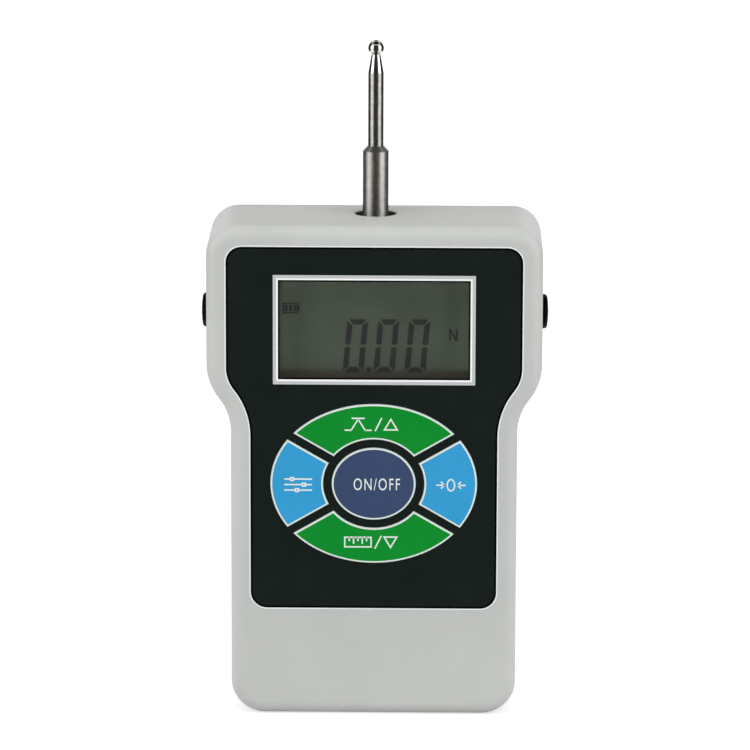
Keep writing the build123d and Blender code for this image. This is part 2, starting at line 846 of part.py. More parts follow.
def switch_plunger(side):
    tip = side * plunger_tip()
    root = side * (switch_face() - plunger_hold)
    return bar_x(button_y, button_z, plunger_radius, min(tip, root), max(tip, root))


# ================================================================ load cell, chassis and shaft
def load_cell():
    """S-type beam: two slots from opposite sides and a bridged pair of bores."""
    half = cell_width / 2
    middle = (cell_base_z + cell_top_z) / 2
    body = block(-half, half, cell_front_y, cell_back_y, cell_base_z, cell_top_z)
    low_slot = cell_base_z + cell_arm
    high_slot = cell_top_z - cell_arm
    body -= block(-half + cell_neck, half, cell_front_y, cell_back_y,
                  low_slot, low_slot + cell_slot)
    body -= block(-half, half - cell_neck, cell_front_y, cell_back_y,
                  high_slot - cell_slot, high_slot)
    for side in (-1, 1):
        body -= bar_y(side * cell_bore_spread, middle, cell_bore, cell_front_y, cell_back_y)
    body -= block(-cell_bore_spread, cell_bore_spread, cell_front_y, cell_back_y,
                  middle - cell_bridge / 2, middle + cell_bridge / 2)
    body -= bar_z(0, axis_y, foot_screw_radius + thread_gap, cell_base_z,
                  cell_base_z + cell_thread_depth)
    body -= bar_z(0, axis_y, shaft_radius + thread_gap, cell_top_z - cell_thread_depth,
                  cell_top_z)
    return body


def strain_gauges():
    """Four foil gauges bonded where the bores leave the beam thinnest."""
    return bore_linings(gauge_width, gauge_foil, axis_y - cell_depth / 4,
                        axis_y + cell_depth / 4)


def bore_linings(width, sheet, y0, y1):
    """Strips of sheet that line the beam's two bores at their tops and bottoms."""
    middle = (cell_base_z + cell_top_z) / 2
    linings = []
    for side in (-1, 1):
        x = side * cell_bore_spread
        ring = bar_y(x, middle, cell_bore, y0, y1) - bar_y(x, middle, cell_bore - sheet, y0, y1)
        for start, end in ((middle, middle + cell_bore), (middle - cell_bore, middle)):
            linings.append(ring & block(x - width / 2, x + width / 2, y0, y1, start, end))
    return linings


def gauge_flex():
    """Flexible circuit on the beam's front face: it joins the gauges and plugs into the board."""
    middle = (cell_base_z + cell_top_z) / 2
    outer_y = cell_front_y - flex_sheet
    bend = sqrt(cell_bore**2 - (flex_tab / 2) ** 2) - flex_sheet
    rail_top = cell_bore + flex_rail
    side_x = flex_edge - cell_width / 2
    run_z = header_base() + header_depth + flex_edge
    tail_y = flex_plane()
    flat = [block(side_x, side_x + flex_rail, outer_y, cell_front_y, run_z, middle + rail_top),
            block(side_x, flex_tail / 2, outer_y, cell_front_y, run_z, run_z + flex_rail)]
    for low, high, inner in ((cell_bore, rail_top, bend), (-rail_top, -cell_bore, -bend)):
        flat.append(block(side_x, cell_bore_spread, outer_y, cell_front_y,
                          middle + low, middle + high))
        for side in (-1, 1):
            x = side * cell_bore_spread
            ends = sorted((low, high, inner))
            flat.append(block(x - flex_tab / 2, x + flex_tab / 2, outer_y, cell_front_y,
                              middle + ends[0], middle + ends[-1]))
    tail = [block(-flex_tail / 2, flex_tail / 2, tail_y, cell_front_y, run_z, run_z + flex_sheet),
            block(-flex_tail / 2, flex_tail / 2, tail_y, tail_y + flex_sheet,
                  header_base() + header_floor + case_gap, run_z + flex_sheet)]
    tabs = bore_linings(flex_tab, flex_sheet, outer_y, axis_y - cell_depth / 4)
    return Part() + flat + tail + tabs


def load_cell_chassis():
    """Plate behind the beam with a ledge under it, ears for the case and stand threads."""
    half = stand_x + stand_hole_land
    top = upper_post_z + chassis_ear
    body = plate(0, (ledge_base_z + top) / 2, 2 * half, top - ledge_base_z,
                 chassis_front_y, chassis_back_y, chassis_corner)
    for x, z in (chassis_posts[1], chassis_posts[3]):
        strap = SlotCenterToCenter(2 * x, 2 * chassis_ear)
        body += slab(Pos(0, z) * strap, chassis_front_y, chassis_back_y)
    ledge_half = cell_width / 2
    body += block(-ledge_half, ledge_half, cell_front_y, chassis_front_y,
                  ledge_base_z, cell_base_z)
    body -= bar_z(0, axis_y, foot_screw_radius + screw_gap, ledge_base_z, cell_base_z)
    for x, z in chassis_posts:
        body -= bar_y(x, z, chassis_screw_radius + screw_gap, chassis_front_y, chassis_back_y)
        body -= countersink(x, z, screw_gap)
    for x, z in stand_holes:
        body -= bar_y(x, z, stand_hole_radius, chassis_front_y, chassis_back_y)
    return body


def countersink(x, z, grow=0.0):
    """Cone of a countersunk head that ends flush with the chassis plate."""
    depth = chassis_screw_head - chassis_screw_radius
    cone = Cone(chassis_screw_radius + grow, chassis_screw_head + grow, depth,
                rotation=(-90, 0, 0))
    return Pos(x, chassis_back_y - depth / 2, z) * cone


def chassis_screw(x, z):
    depth = chassis_screw_head - chassis_screw_radius
    shank_end = chassis_front_y - chassis_screw_length + screw_end_room
    head = countersink(x, z) - cross_recess(x, z, chassis_back_y, chassis_screw_head, depth)
    return head + bar_y(x, z, chassis_screw_radius, shank_end, chassis_back_y - depth)


def load_cell_screw():
    """Low-headed socket screw that holds the beam down on the ledge."""
    head = bar_z(0, axis_y, foot_screw_head, ledge_base_z - foot_screw_head_height,
                 ledge_base_z)
    head = fillet(head.faces().sort_by(Axis.Z)[0].edges(), stud_break)
    hexagon = RegularPolygon(foot_screw_socket / 2, 6, major_radius=False)
    socket = extrude(Pos(0, axis_y, ledge_base_z - foot_screw_head_height) * hexagon,
                     amount=foot_screw_socket_depth)
    shank = bar_z(0, axis_y, foot_screw_radius, ledge_base_z,
                  cell_base_z + cell_thread_depth - screw_end_room)
    return head - socket + shank


def measuring_shaft():
    root = cell_top_z - cell_thread_depth + shaft_root_room
    collar_base = nut_top_z
    collar_top = nut_top_z + shaft_collar_height
    points = [
        (0, root),
        (shaft_radius, root),
        (shaft_radius, collar_base),
        (shaft_collar, collar_base),
        (shaft_collar, collar_top),
        (shaft_radius, collar_top),
        (shaft_radius, shaft_top_z),
        (stud_radius, shaft_top_z),
        (stud_radius, shaft_top_z + stud_length - stud_break),
        (stud_radius - stud_break, shaft_top_z + stud_length),
        (0, shaft_top_z + stud_length),
    ]
    body = turned(points, y=axis_y)
    body -= block(-shaft_collar, shaft_collar, axis_y - shaft_collar, axis_y - shaft_flats / 2,
                  collar_base, collar_top)
    body -= block(-shaft_collar, shaft_collar, axis_y + shaft_flats / 2, axis_y + shaft_collar,
                  collar_base, collar_top)
    return body


def shaft_lock_nut():
    hexagon = RegularPolygon(lock_nut_flats / 2, 6, major_radius=False)
    nut = extrude(Pos(0, axis_y, cell_top_z) * hexagon, amount=lock_nut_height)
    return nut - bar_z(0, axis_y, shaft_radius + thread_gap, cell_top_z, nut_top_z)


def contact_probe():
    """Turned probe: threaded sleeve, shoulder, rod, cone and ball tip."""
    bore = stud_radius + thread_gap
    bore_top = shaft_top_z + stud_length + stud_end_room
    neck_z = ball_z - sqrt(ball_radius**2 - neck_radius**2)
    points = [
        (bore, shaft_top_z),
        (shaft_radius - sleeve_foot_break, shaft_top_z),
        (shaft_radius, shaft_top_z + sleeve_foot_break),
        (shaft_radius, sleeve_top_z),
        (rod_radius, shoulder_top_z),
        (rod_radius, cone_base_z),
        (neck_radius, neck_z),
        (0, ball_z + ball_radius, ball_radius, ball_z),
        (0, bore_top),
        (bore, bore_top),
    ]
    return turned(points, y=axis_y)


# ================================================================ battery
def battery():
    body = block(-battery_width / 2, battery_width / 2, battery_front_y(), battery_rear_y(),
                 battery_base_z, battery_top_z)
    return fillet(body.edges().filter_by(Axis.Z), battery_round)


def battery_axis_y():
    return (battery_front_y() + battery_rear_y()) / 2


def battery_terminals():
    y = battery_axis_y()
    stud = bar_z(-terminal_pitch / 2, y, stud_terminal_radius, battery_top_z,
                 battery_top_z + terminal_height)
    socket = bar_z(terminal_pitch / 2, y, socket_terminal_radius, battery_top_z,
                   battery_top_z + terminal_height)
    hollow = bar_z(terminal_pitch / 2, y, stud_terminal_radius, battery_top_z + socket_floor,
                   battery_top_z + terminal_height)
    return [stud, socket - hollow]


def snap_cap():
    """Moulded connector cap that snaps over the battery's two terminals."""
    y = battery_axis_y()
    base = battery_top_z + battery_seat_gap / 2
    body = block(-snap_cap_width / 2, snap_cap_width / 2, y - snap_cap_depth / 2,
                 y + snap_cap_depth / 2, base, base + snap_cap_height)
    body = fillet(body.edges().filter_by(Axis.Z), snap_cap_round)
    for side in (-1, 1):
        body -= bar_z(side * terminal_pitch / 2, y, socket_terminal_radius + case_gap, base,
                      base + terminal_height + case_gap)
    return body


def battery_leads():
    """Two insulated leads from the snap cap out of the bay and up to the board."""
    leads = []
    for step in range(2):
        y = axis_y - lead_pitch + step * lead_pitch
        out_x = -battery_width / 2 - bay_gap - bay_wall - lead_outreach
        turn_z = board_base_z + lead_board_rise + step * lead_pitch
        route = FilletPolyline(
            (-snap_cap_width / 2, y, lead_z()),
            (out_x, y, lead_z()),
            (out_x, y, turn_z),
            (out_x, board_back_y, turn_z),
            radius=lead_bend,
        )
        section = Plane(route @ 0, z_dir=route % 0) * Circle(lead_radius)
        leads.append(sweep(section, path=route))
    return leads


# ================================================================ writing
def group(solids):
    """Separate solids kept side by side in one node."""
    return Compound(children=[solid for shape in solids for solid in shape.solids()])


faces = key_faces()
nodes = {
    "front_housing": front_housing(),
    "rear_cover": rear_cover(),
    "battery_door": battery_door(),
    "battery_pad": battery_pad(),
    "membrane_overlay": membrane_overlay(),
    "window_frame": window_frame(),
    "display_window": display_window(),
    "dome_spacer": dome_spacer(),
    "snap_domes": group([snap_dome(x, z) for x, z in dome_places.values()]),
    "membrane_circuit": membrane_circuit(),
    "lcd_glass": lcd_glass(),
    "lcd_reflector": lcd_reflector(),
    "zebra_strips": group(zebra_strips()),
    "lcd_bezel": lcd_bezel(),
    "main_board": main_board(),
    "board_chips": group(board_chips()),
    "tail_connector": tail_connector(),
    "side_switch_left": side_switch(-1),
    "side_switch_right": side_switch(1),
    "switch_plunger_left": switch_plunger(-1),
    "switch_plunger_right": switch_plunger(1),
    "side_button_left": side_button(-1),
    "side_button_right": side_button(1),
    "load_cell": load_cell(),
    "strain_gauges": group(strain_gauges()),
    "gauge_flex": gauge_flex(),
    "gauge_header": gauge_header(),
    "load_cell_chassis": load_cell_chassis(),
    "load_cell_screw": load_cell_screw(),
    "measuring_shaft": measuring_shaft(),
    "shaft_lock_nut": shaft_lock_nut(),
    "contact_probe": contact_probe(),
    "battery": battery(),
    "battery_terminals": group(battery_terminals()),
    "battery_snap_cap": snap_cap(),
    "battery_leads": group(battery_leads()),
    "case_screws": group([pan_screw(x, z, counterbore_y, case_screw_head,
                                    case_screw_head_height, case_screw_radius,
                                    case_screw_length) for x, z in case_screws]),
    "chassis_screws": group([chassis_screw(x, z) for x, z in chassis_posts]),
    "board_screws": group([pan_screw(x, z, board_back_y, board_screw_head,
                                     board_screw_head_height, board_screw_radius,
                                     board_screw_length) for x, z in board_posts]),
}
for name, face in faces.items():
    nodes[name] = key_pad(face)

for name, shape in nodes.items():
    export_step(shape, f"parts/{name}.step")
print("case", 2 * head_half, 2 * grip_half, case_depth, case_length, "top", ball_z + ball_radius)
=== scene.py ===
"""Handheld digital force gauge: its finishes, printed marks, display segments, stage and camera."""

from math import cos, pi, radians, sin

import bmesh
import bpy
from bpy.props import FloatProperty, FloatVectorProperty, PointerProperty
from mathutils import Matrix, Vector


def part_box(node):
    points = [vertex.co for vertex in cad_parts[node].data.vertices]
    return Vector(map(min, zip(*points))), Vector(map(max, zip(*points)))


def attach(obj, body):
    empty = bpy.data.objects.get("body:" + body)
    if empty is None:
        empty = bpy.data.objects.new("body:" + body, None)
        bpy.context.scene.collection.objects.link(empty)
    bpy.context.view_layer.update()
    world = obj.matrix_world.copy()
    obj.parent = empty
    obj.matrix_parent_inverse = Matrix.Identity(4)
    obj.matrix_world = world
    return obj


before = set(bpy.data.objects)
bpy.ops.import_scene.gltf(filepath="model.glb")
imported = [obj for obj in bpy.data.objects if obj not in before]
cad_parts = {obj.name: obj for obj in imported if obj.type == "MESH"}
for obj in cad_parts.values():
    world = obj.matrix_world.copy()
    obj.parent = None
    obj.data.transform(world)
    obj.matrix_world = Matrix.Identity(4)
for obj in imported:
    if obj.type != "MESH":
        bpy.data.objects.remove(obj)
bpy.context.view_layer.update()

bl_info = {
    "name": "Force gauge",
    "version": (1, 0, 0),
    "blender": (4, 5, 0),
    "location": "View3D > Sidebar > Force gauge",
    "description": "Dresses the force gauge's solids and adds its prints, display and stage",
    "category": "Object",
}

MM = 0.001

# sizes that the solids' boxes don't give
HOLE_RADIUS = 4.85 * MM   # just outside the wall of the probe hole
HOLE_DEPTH = 5.0 * MM
HOLE_LIP = 1.2 * MM       # the top of that wall, where the painted shade is lighter
CONE_AND_BALL = 7.47 * MM
ROD_LENGTH = 17.0 * MM
PALE_EDGE = 0.3 * MM
BLACK_EDGE = 0.45 * MM
BORDER_LINE = 0.38 * MM
SEGMENT_RISE = 0.02 * MM

# the Mix node's sockets for two colours and their result
MIX_A, MIX_B, MIX_RESULT = 6, 7, 2


# ---------------------------------------------------------------- colour and node helpers
def linear(hex_colour):
    """Linear RGBA of an sRGB hex colour such as #C1C2BE."""
    steps = [int(hex_colour[i:i + 2], 16) / 255 for i in (1, 3, 5)]
    return tuple(s / 12.92 if s <= 0.04045 else ((s + 0.055) / 1.055) ** 2.4
                 for s in steps) + (1.0,)


def shade(colour, factor):
    """The same colour, lighter or darker by a factor."""
    return tuple(min(1.0, part * factor) for part in colour[:3]) + (1.0,)


def fill(tree, node, inputs):
    """Sets a node's inputs to values, or links them to sockets."""
    for name, value in inputs.items():
        if isinstance(value, bpy.types.NodeSocket):
            tree.links.new(value, node.inputs[name])
        else:
            node.inputs[name].default_value = value


def add(tree, kind, inputs=None, **settings):
    """Adds a node, sets its attributes and fills its inputs."""
    node = tree.nodes.new(kind)
    for name, value in settings.items():
        setattr(node, name, value)
    fill(tree, node, inputs or {})
    return node


def new_finish(name, **constants):
    """A material, its tree, its shader with these constants, and the object's coordinates."""
    material = bpy.data.materials.new(name)
    material.use_nodes = True
    tree = material.node_tree
    shader = tree.nodes["Principled BSDF"]
    fill(tree, shader, {socket.replace("_", " "): value for socket, value in constants.items()})
    return material, tree, shader, add(tree, "ShaderNodeTexCoord").outputs["Object"]


def per_metre(millimetres):
    """Noise scale whose features are about this many millimetres across."""
    return 1000 / millimetres


def grain(tree, shader, place, size, depth, strength, detail=2.0):
    """Bump of an even random grain: size and depth in millimetres."""
    noise = add(tree, "ShaderNodeTexNoise",
                {"Vector": place, "Scale": per_metre(size), "Detail": detail, "Roughness": 0.55})
    bump = add(tree, "ShaderNodeBump",
               {"Height": noise.outputs["Fac"], "Strength": strength, "Distance": depth * MM})
    fill(tree, shader, {"Normal": bump.outputs["Normal"]})


def cloud(tree, place, size, colours, detail, roughness=0.5):
    """A noise of this size in millimetres, and the change between two colours that it drives."""
    noise = add(tree, "ShaderNodeTexNoise", {"Vector": place, "Scale": per_metre(size),
                                             "Detail": detail, "Roughness": roughness})
    ramp = add(tree, "ShaderNodeValToRGB", {"Fac": noise.outputs["Fac"]})
    for stop, position, colour in zip(ramp.color_ramp.elements, (0.3, 0.7), colours):
        stop.position = position
        stop.color = colour
    return noise, ramp.outputs["Color"]


def uneven_gloss(tree, shader, noise, low, high, least=0.0, most=1.0):
    """Lets the roughness wander from low to high as a noise goes from least to most."""
    spread = add(tree, "ShaderNodeMapRange",
                 {"Value": noise.outputs["Fac"], "From Min": least, "From Max": most,
                  "To Min": low, "To Max": high})
    fill(tree, shader, {"Roughness": spread.outputs["Result"]})


def vary(tree, shader, place, size, colours, roughness):
    """Cloudy change between two colours and two roughness values over patches of this size."""
    noise, tone = cloud(tree, place, size, colours, 4.0, 0.6)
    uneven_gloss(tree, shader, noise, *roughness, least=0.3, most=0.7)
    fill(tree, shader, {"Base Color": tone})
    return tone


def dress(material, *node_names):
    """Gives the carried-over solids this material."""
    for name in node_names:
        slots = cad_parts[name].data.materials
        slots.clear()
        slots.append(material)


# ---------------------------------------------------------------- finishes
def spark_eroded_abs(colour, axis_y, hole_top):
    """ABS moulded in a spark-eroded tool: an even fine matt grain; the probe hole's wall has
    painted shade.
    """
    material, tree, shader, place = new_finish("spark_eroded_abs", IOR=1.53)
    tone = vary(tree, shader, place, 22.0, (shade(colour, 0.965), shade(colour, 1.03)),
                (0.46, 0.56))
    point = add(tree, "ShaderNodeSeparateXYZ", {"Vector": place}).outputs
    flat = add(tree, "ShaderNodeCombineXYZ", {"X": point["X"], "Y": point["Y"]})
    reach = add(tree, "ShaderNodeVectorMath",
                {0: flat.outputs["Vector"], 1: (0.0, axis_y, 0.0)}, operation="DISTANCE")
    within = add(tree, "ShaderNodeMath", {0: reach.outputs["Value"], 1: HOLE_RADIUS},
                 operation="LESS_THAN")
    foot = hole_top - HOLE_DEPTH
    above = add(tree, "ShaderNodeMapRange",
                {"Value": point["Z"], "From Min": foot, "From Max": foot + 0.1 * MM})
    below = add(tree, "ShaderNodeMapRange",
                {"Value": point["Z"], "From Min": hole_top - HOLE_LIP, "From Max": hole_top,
                 "To Min": 0.97, "To Max": 0.8})
    depth = add(tree, "ShaderNodeMath",
                {0: above.outputs["Result"], 1: below.outputs["Result"]}, operation="MULTIPLY")
    # painted shade: the wall of the probe hole is darkened towards near-black, a little less at its
    # top
    painted_shade = add(tree, "ShaderNodeMath",
                {0: within.outputs["Value"], 1: depth.outputs["Value"]}, operation="MULTIPLY")
    mixed = add(tree, "ShaderNodeMix",
                {"Factor": painted_shade.outputs["Value"], MIX_A: tone, MIX_B: linear("#16130F")},
                data_type="RGBA")
    fill(tree, shader, {"Base Color": mixed.outputs[MIX_RESULT]})
    # the tool's grain is about 0.1 mm; it is drawn at 0.3 mm so that it shows
    grain(tree, shader, place, 0.3, 0.03, 0.35, detail=3.0)
    return material


def hard_coated_polyester(colour):
    """Polyester sheet printed on its back and hard-coated: satin gloss with faint orange peel."""
    material, tree, shader, place = new_finish("panel_polyester", IOR=1.5)
    vary(tree, shader, place, 9.0, (shade(colour, 0.93), shade(colour, 1.07)), (0.2, 0.28))
    grain(tree, shader, place, 0.8, 0.01, 0.12)
    return material


def reverse_printed_key(name, colour):
    """Embossed key film: the printed colour with a satin top, and a painted highlight in a paler
    colour on its embossed edge.
    """
    material, tree, shader, place = new_finish(name, IOR=1.5, Specular_IOR_Level=0.3)
    noise, tone = cloud(tree, place, 12.0, (shade(colour, 0.965), shade(colour, 1.03)), 2.0)
    facing = add(tree, "ShaderNodeSeparateXYZ",
                 {"Vector": add(tree, "ShaderNodeTexCoord").outputs["Normal"]})
    # painted highlight: faces that don't face the front, the embossed edges, take a paler colour
    edge = add(tree, "ShaderNodeMath", {0: facing.outputs["Y"], 1: -0.97},
               operation="GREATER_THAN")
    mixed = add(tree, "ShaderNodeMix",
                {"Factor": edge.outputs["Value"], MIX_A: tone, MIX_B: linear("#C9D6CE")},
                data_type="RGBA")
    fill(tree, shader, {"Base Color": mixed.outputs[MIX_RESULT]})
    uneven_gloss(tree, shader, noise, 0.24, 0.34)
    grain(tree, shader, place, 0.5, 0.01, 0.15)
    return material


def ink_and_painted_light(name, colour, shine=0.5):
    """Screen-printed ink, also used for lines of painted highlight and painted shade: flat,
    slightly chalky, with tiny pinholes in its tone.
    """
    material, tree, shader, place = new_finish(name, IOR=1.5, Specular_IOR_Level=shine)
    vary(tree, shader, place, 0.6, (shade(colour, 0.92), shade(colour, 1.04)), (0.45, 0.6))
    return material


def window_border_ink(half_width, half_height, centre_z, border):
    """Two printed lines round the window: a pale grey one, a thin seam and an inner white one."""
    material, tree, shader, place = new_finish("window_border_ink", IOR=1.5)
    point = add(tree, "ShaderNodeSeparateXYZ", {"Vector": place}).outputs
    inward = []
    for value, middle, half in ((point["X"], 0.0, half_width),
                                (point["Z"], centre_z, half_height)):
        offset = add(tree, "ShaderNodeMath", {0: value, 1: middle}, operation="SUBTRACT")
        away = add(tree, "ShaderNodeMath", {0: offset.outputs["Value"]}, operation="ABSOLUTE")
        inward.append(add(tree, "ShaderNodeMath", {0: half, 1: away.outputs["Value"]},
                          operation="SUBTRACT").outputs["Value"])
    nearest = add(tree, "ShaderNodeMath", {0: inward[0], 1: inward[1]}, operation="MINIMUM")
    share = add(tree, "ShaderNodeMath", {0: nearest.outputs["Value"], 1: border},
                operation="DIVIDE")
    ramp = add(tree, "ShaderNodeValToRGB", {"Fac": share.outputs["Value"]})
    stops = ramp.color_ramp.elements
    stops[0].color = linear("#C6CBC7")
    stops[1].color = linear("#FFFFFF")
    for position, hex_colour in ((0.2, "#C9CECA"), (0.4, "#BEC2C2"), (0.58, "#C6C8CB"),
                                 (0.72, "#FCFCFF")):
        stops.new(position).color = linear(hex_colour)
    fill(tree, shader, {"Base Color": ramp.outputs["Color"]})
    noise = add(tree, "ShaderNodeTexNoise", {"Vector": place, "Scale": per_metre(0.7)})
    uneven_gloss(tree, shader, noise, 0.3, 0.5)
    return material


def clear_polyester():
    """Clear hard-coated window film: see-through with a crisp faint reflection."""
    material, tree, shader, place = new_finish(
        "clear_polyester", IOR=1.5, Transmission_Weight=1.0, Base_Color=linear("#F4F7F4"))
    noise = add(tree, "ShaderNodeTexNoise", {"Vector": place, "Scale": per_metre(4.0)})
    uneven_gloss(tree, shader, noise, 0.02, 0.06)
    return material


def reflective_lcd(colour, corner, opposite):
    """Polarised display glass: grey-green, with painted light towards its rim and painted shade
    under its top edge, browner at its foot, dull at left.
    """
    material, tree, shader, place = new_finish("reflective_lcd", IOR=1.52)
    noise, tone = cloud(tree, place, 9.0, (shade(colour, 0.9), shade(colour, 1.08)), 3.0)
    point = add(tree, "ShaderNodeSeparateXYZ", {"Vector": place}).outputs
    middle = (corner.x + opposite.x) / 2
    sideways = add(tree, "ShaderNodeMath", {0: point["X"], 1: middle}, operation="SUBTRACT")
    outwards = add(tree, "ShaderNodeMath", {0: sideways.outputs["Value"]}, operation="ABSOLUTE")
    # painted light: the tone is made lighter towards the side rims and the top rim
    for value, edge, most in ((outwards.outputs["Value"], opposite.x - middle, 1.5),
                              (point["Z"], opposite.z, 1.55)):
        glow = add(tree, "ShaderNodeMapRange",
                   {"Value": value, "From Min": edge - 5.0 * MM, "From Max": edge,
                    "To Min": 1.0, "To Max": most}, interpolation_type="SMOOTHSTEP")
        tone = add(tree, "ShaderNodeVectorMath", {0: tone, "Scale": glow.outputs["Result"]},
                   operation="SCALE").outputs["Vector"]
    for axis, full, gone, most, hex_colour in (
        ("X", corner.x + 0.75 * MM, corner.x + 1.0 * MM, 0.85, "#5B5558"),
        ("Z", corner.z + 1.0 * MM, corner.z + 2.0 * MM, 0.85, "#433B34"),
        # painted shade just under the top edge
        ("Z", opposite.z - 0.5 * MM, opposite.z - 0.9 * MM, 0.6, "#565A5C"),
    ):
        fade = add(tree, "ShaderNodeMapRange",
                   {"Value": point[axis], "From Min": full, "From Max": gone,
                    "To Min": most, "To Max": 0.0})
        tone = add(tree, "ShaderNodeMix",
                   {"Factor": fade.outputs["Result"], MIX_A: tone, MIX_B: linear(hex_colour)},
                   data_type="RGBA").outputs[MIX_RESULT]
    fill(tree, shader, {"Base Color": tone})
    uneven_gloss(tree, shader, noise, 0.25, 0.4)
    grain(tree, shader, place, 0.25, 0.005, 0.1)
    return material


def segment_black(colour):
    """Switched-on liquid crystal: a soft charcoal, never quite black."""
    material, tree, shader, place = new_finish("segment_black", IOR=1.5)
    vary(tree, shader, place, 2.5, (shade(colour, 0.85), shade(colour, 1.2)), (0.4, 0.55))
    return material


def turned_stainless(sleeve_top, cone_base):
    """Stainless steel: a satin sleeve, a finely ground rod, a mirror-polished cone and ball."""
    material, tree, shader, place = new_finish("turned_stainless", Metallic=1.0)
    noise, tone = cloud(tree, place, 1.2, (linear("#9D9B94"), linear("#B4B2AC")), 5.0)
    height = add(tree, "ShaderNodeSeparateXYZ", {"Vector": place}).outputs["Z"]
    polished = add(tree, "ShaderNodeMapRange",
                   {"Value": height, "From Min": cone_base - 0.1 * MM,
                    "From Max": cone_base}).outputs["Result"]
    satin = add(tree, "ShaderNodeMapRange",
                {"Value": height, "From Min": sleeve_top - 0.1 * MM,
                 "From Max": sleeve_top + 0.1 * MM, "To Min": 0.36, "To Max": 0.25})
    uneven = add(tree, "ShaderNodeMapRange",
                 {"Value": noise.outputs["Fac"], "To Min": -0.06, "To Max": 0.06})
    ground = add(tree, "ShaderNodeMath",
                 {0: satin.outputs["Result"], 1: uneven.outputs["Result"]}, operation="ADD")
    gloss = add(tree, "ShaderNodeMapRange",
                {"Value": polished, "To Min": ground.outputs["Value"], "To Max": 0.05})
    # tool rings lie about 0.05 mm apart; they are drawn at 0.18 mm so that they show
    rings = add(tree, "ShaderNodeCombineXYZ", {"Z": height})
    ridges = add(tree, "ShaderNodeTexNoise",
                 {"Vector": rings.outputs["Vector"], "Scale": per_metre(0.18)})
    strength = add(tree, "ShaderNodeMapRange",
                   {"Value": polished, "To Min": 0.25, "To Max": 0.0})
    bump = add(tree, "ShaderNodeBump",
               {"Height": ridges.outputs["Fac"], "Strength": strength.outputs["Result"],
                "Distance": 0.01 * MM})
    mixed = add(tree, "ShaderNodeMix",
                {"Factor": polished, MIX_A: tone, MIX_B: linear("#D4D3CF")}, data_type="RGBA")
    fill(tree, shader, {"Base Color": mixed.outputs[MIX_RESULT],
                        "Roughness": gloss.outputs["Result"],
                        "Normal": bump.outputs["Normal"]})
    return material


def moulded_black(name, colour, roughness, size, shine=0.5):
    """Black moulded plastic: deep matt black with a fine grain and soft grey highlights."""
    material, tree, shader, place = new_finish(name, IOR=1.5, Specular_IOR_Level=shine)
    vary(tree, shader, place, 3.0, (shade(colour, 0.8), shade(colour, 1.25)), roughness)
    grain(tree, shader, place, size, 0.02, 0.25)
    return material


def plated_steel(name, hex_colours, roughness):
    """Plated or sprung steel: a bright metal with a slightly cloudy plating."""
    material, tree, shader, place = new_finish(name, Metallic=1.0)
    vary(tree, shader, place, 0.9, map(linear, hex_colours), roughness)
    grain(tree, shader, place, 0.15, 0.005, 0.2)
    return material


def milled_aluminium(name, hex_colours):
    """Milled aluminium, clear anodised: pale grey with fine parallel cutter lines."""
    material, tree, shader, place = new_finish(name, Metallic=1.0)
    vary(tree, shader, place, 6.0, map(linear, hex_colours), (0.32, 0.45))
    lines = add(tree, "ShaderNodeMapping", {"Vector": place, "Scale": (0.05, 0.05, 1.0)})
    grain(tree, shader, lines.outputs["Vector"], 0.25, 0.01, 0.3)
    return material


def printed_board(colour):
    """Glass-epoxy board under green solder resist: the copper tracks show as paler lines."""
    material, tree, shader, place = new_finish("printed_board", IOR=1.5, Roughness=0.35)
    upright = add(tree, "ShaderNodeMapping", {"Vector": place, "Rotation": (pi / 2, 0.0, 0.0)})
    cells = add(tree, "ShaderNodeTexBrick",
                {"Vector": upright.outputs["Vector"], "Color1": colour,
                 "Color2": shade(colour, 1.25), "Mortar": shade(colour, 2.2),
                 "Scale": per_metre(2.5), "Mortar Size": 0.05, "Brick Width": 3.1,
                 "Row Height": 0.6})
    fill(tree, shader, {"Base Color": cells.outputs["Color"]})
    grain(tree, shader, place, 0.4, 0.01, 0.2)
    return material


def plain_moulding(name, hex_colours, roughness, grain_size):
    """Moulded, cast or dipped plastic in one colour: slightly uneven tone and gloss."""
    material, tree, shader, place = new_finish(name, IOR=1.5)
    vary(tree, shader, place, 2.0, map(linear, hex_colours), roughness)
    grain(tree, shader, place, grain_size, 0.02, 0.25)
    return material


def open_cell_foam():
    """Die-cut polyurethane foam: charcoal, dull, and pitted with open cells, with painted shade in
    the pits.
    """
    material, tree, shader, place = new_finish("open_cell_foam", IOR=1.45, Roughness=0.95)
    cells = add(tree, "ShaderNodeTexVoronoi", {"Vector": place, "Scale": per_metre(0.6)})
    # painted shade: the pits of the cells are coloured darker than their walls
    ramp = add(tree, "ShaderNodeValToRGB", {"Fac": cells.outputs["Distance"]})
    for stop, hex_colour in zip(ramp.color_ramp.elements, ("#17181A", "#4A4C50")):
        stop.color = linear(hex_colour)
    bump = add(tree, "ShaderNodeBump",
               {"Height": cells.outputs["Distance"], "Strength": 0.8, "Distance": 0.3 * MM})
    fill(tree, shader, {"Base Color": ramp.outputs["Color"], "Normal": bump.outputs["Normal"]})
    return material


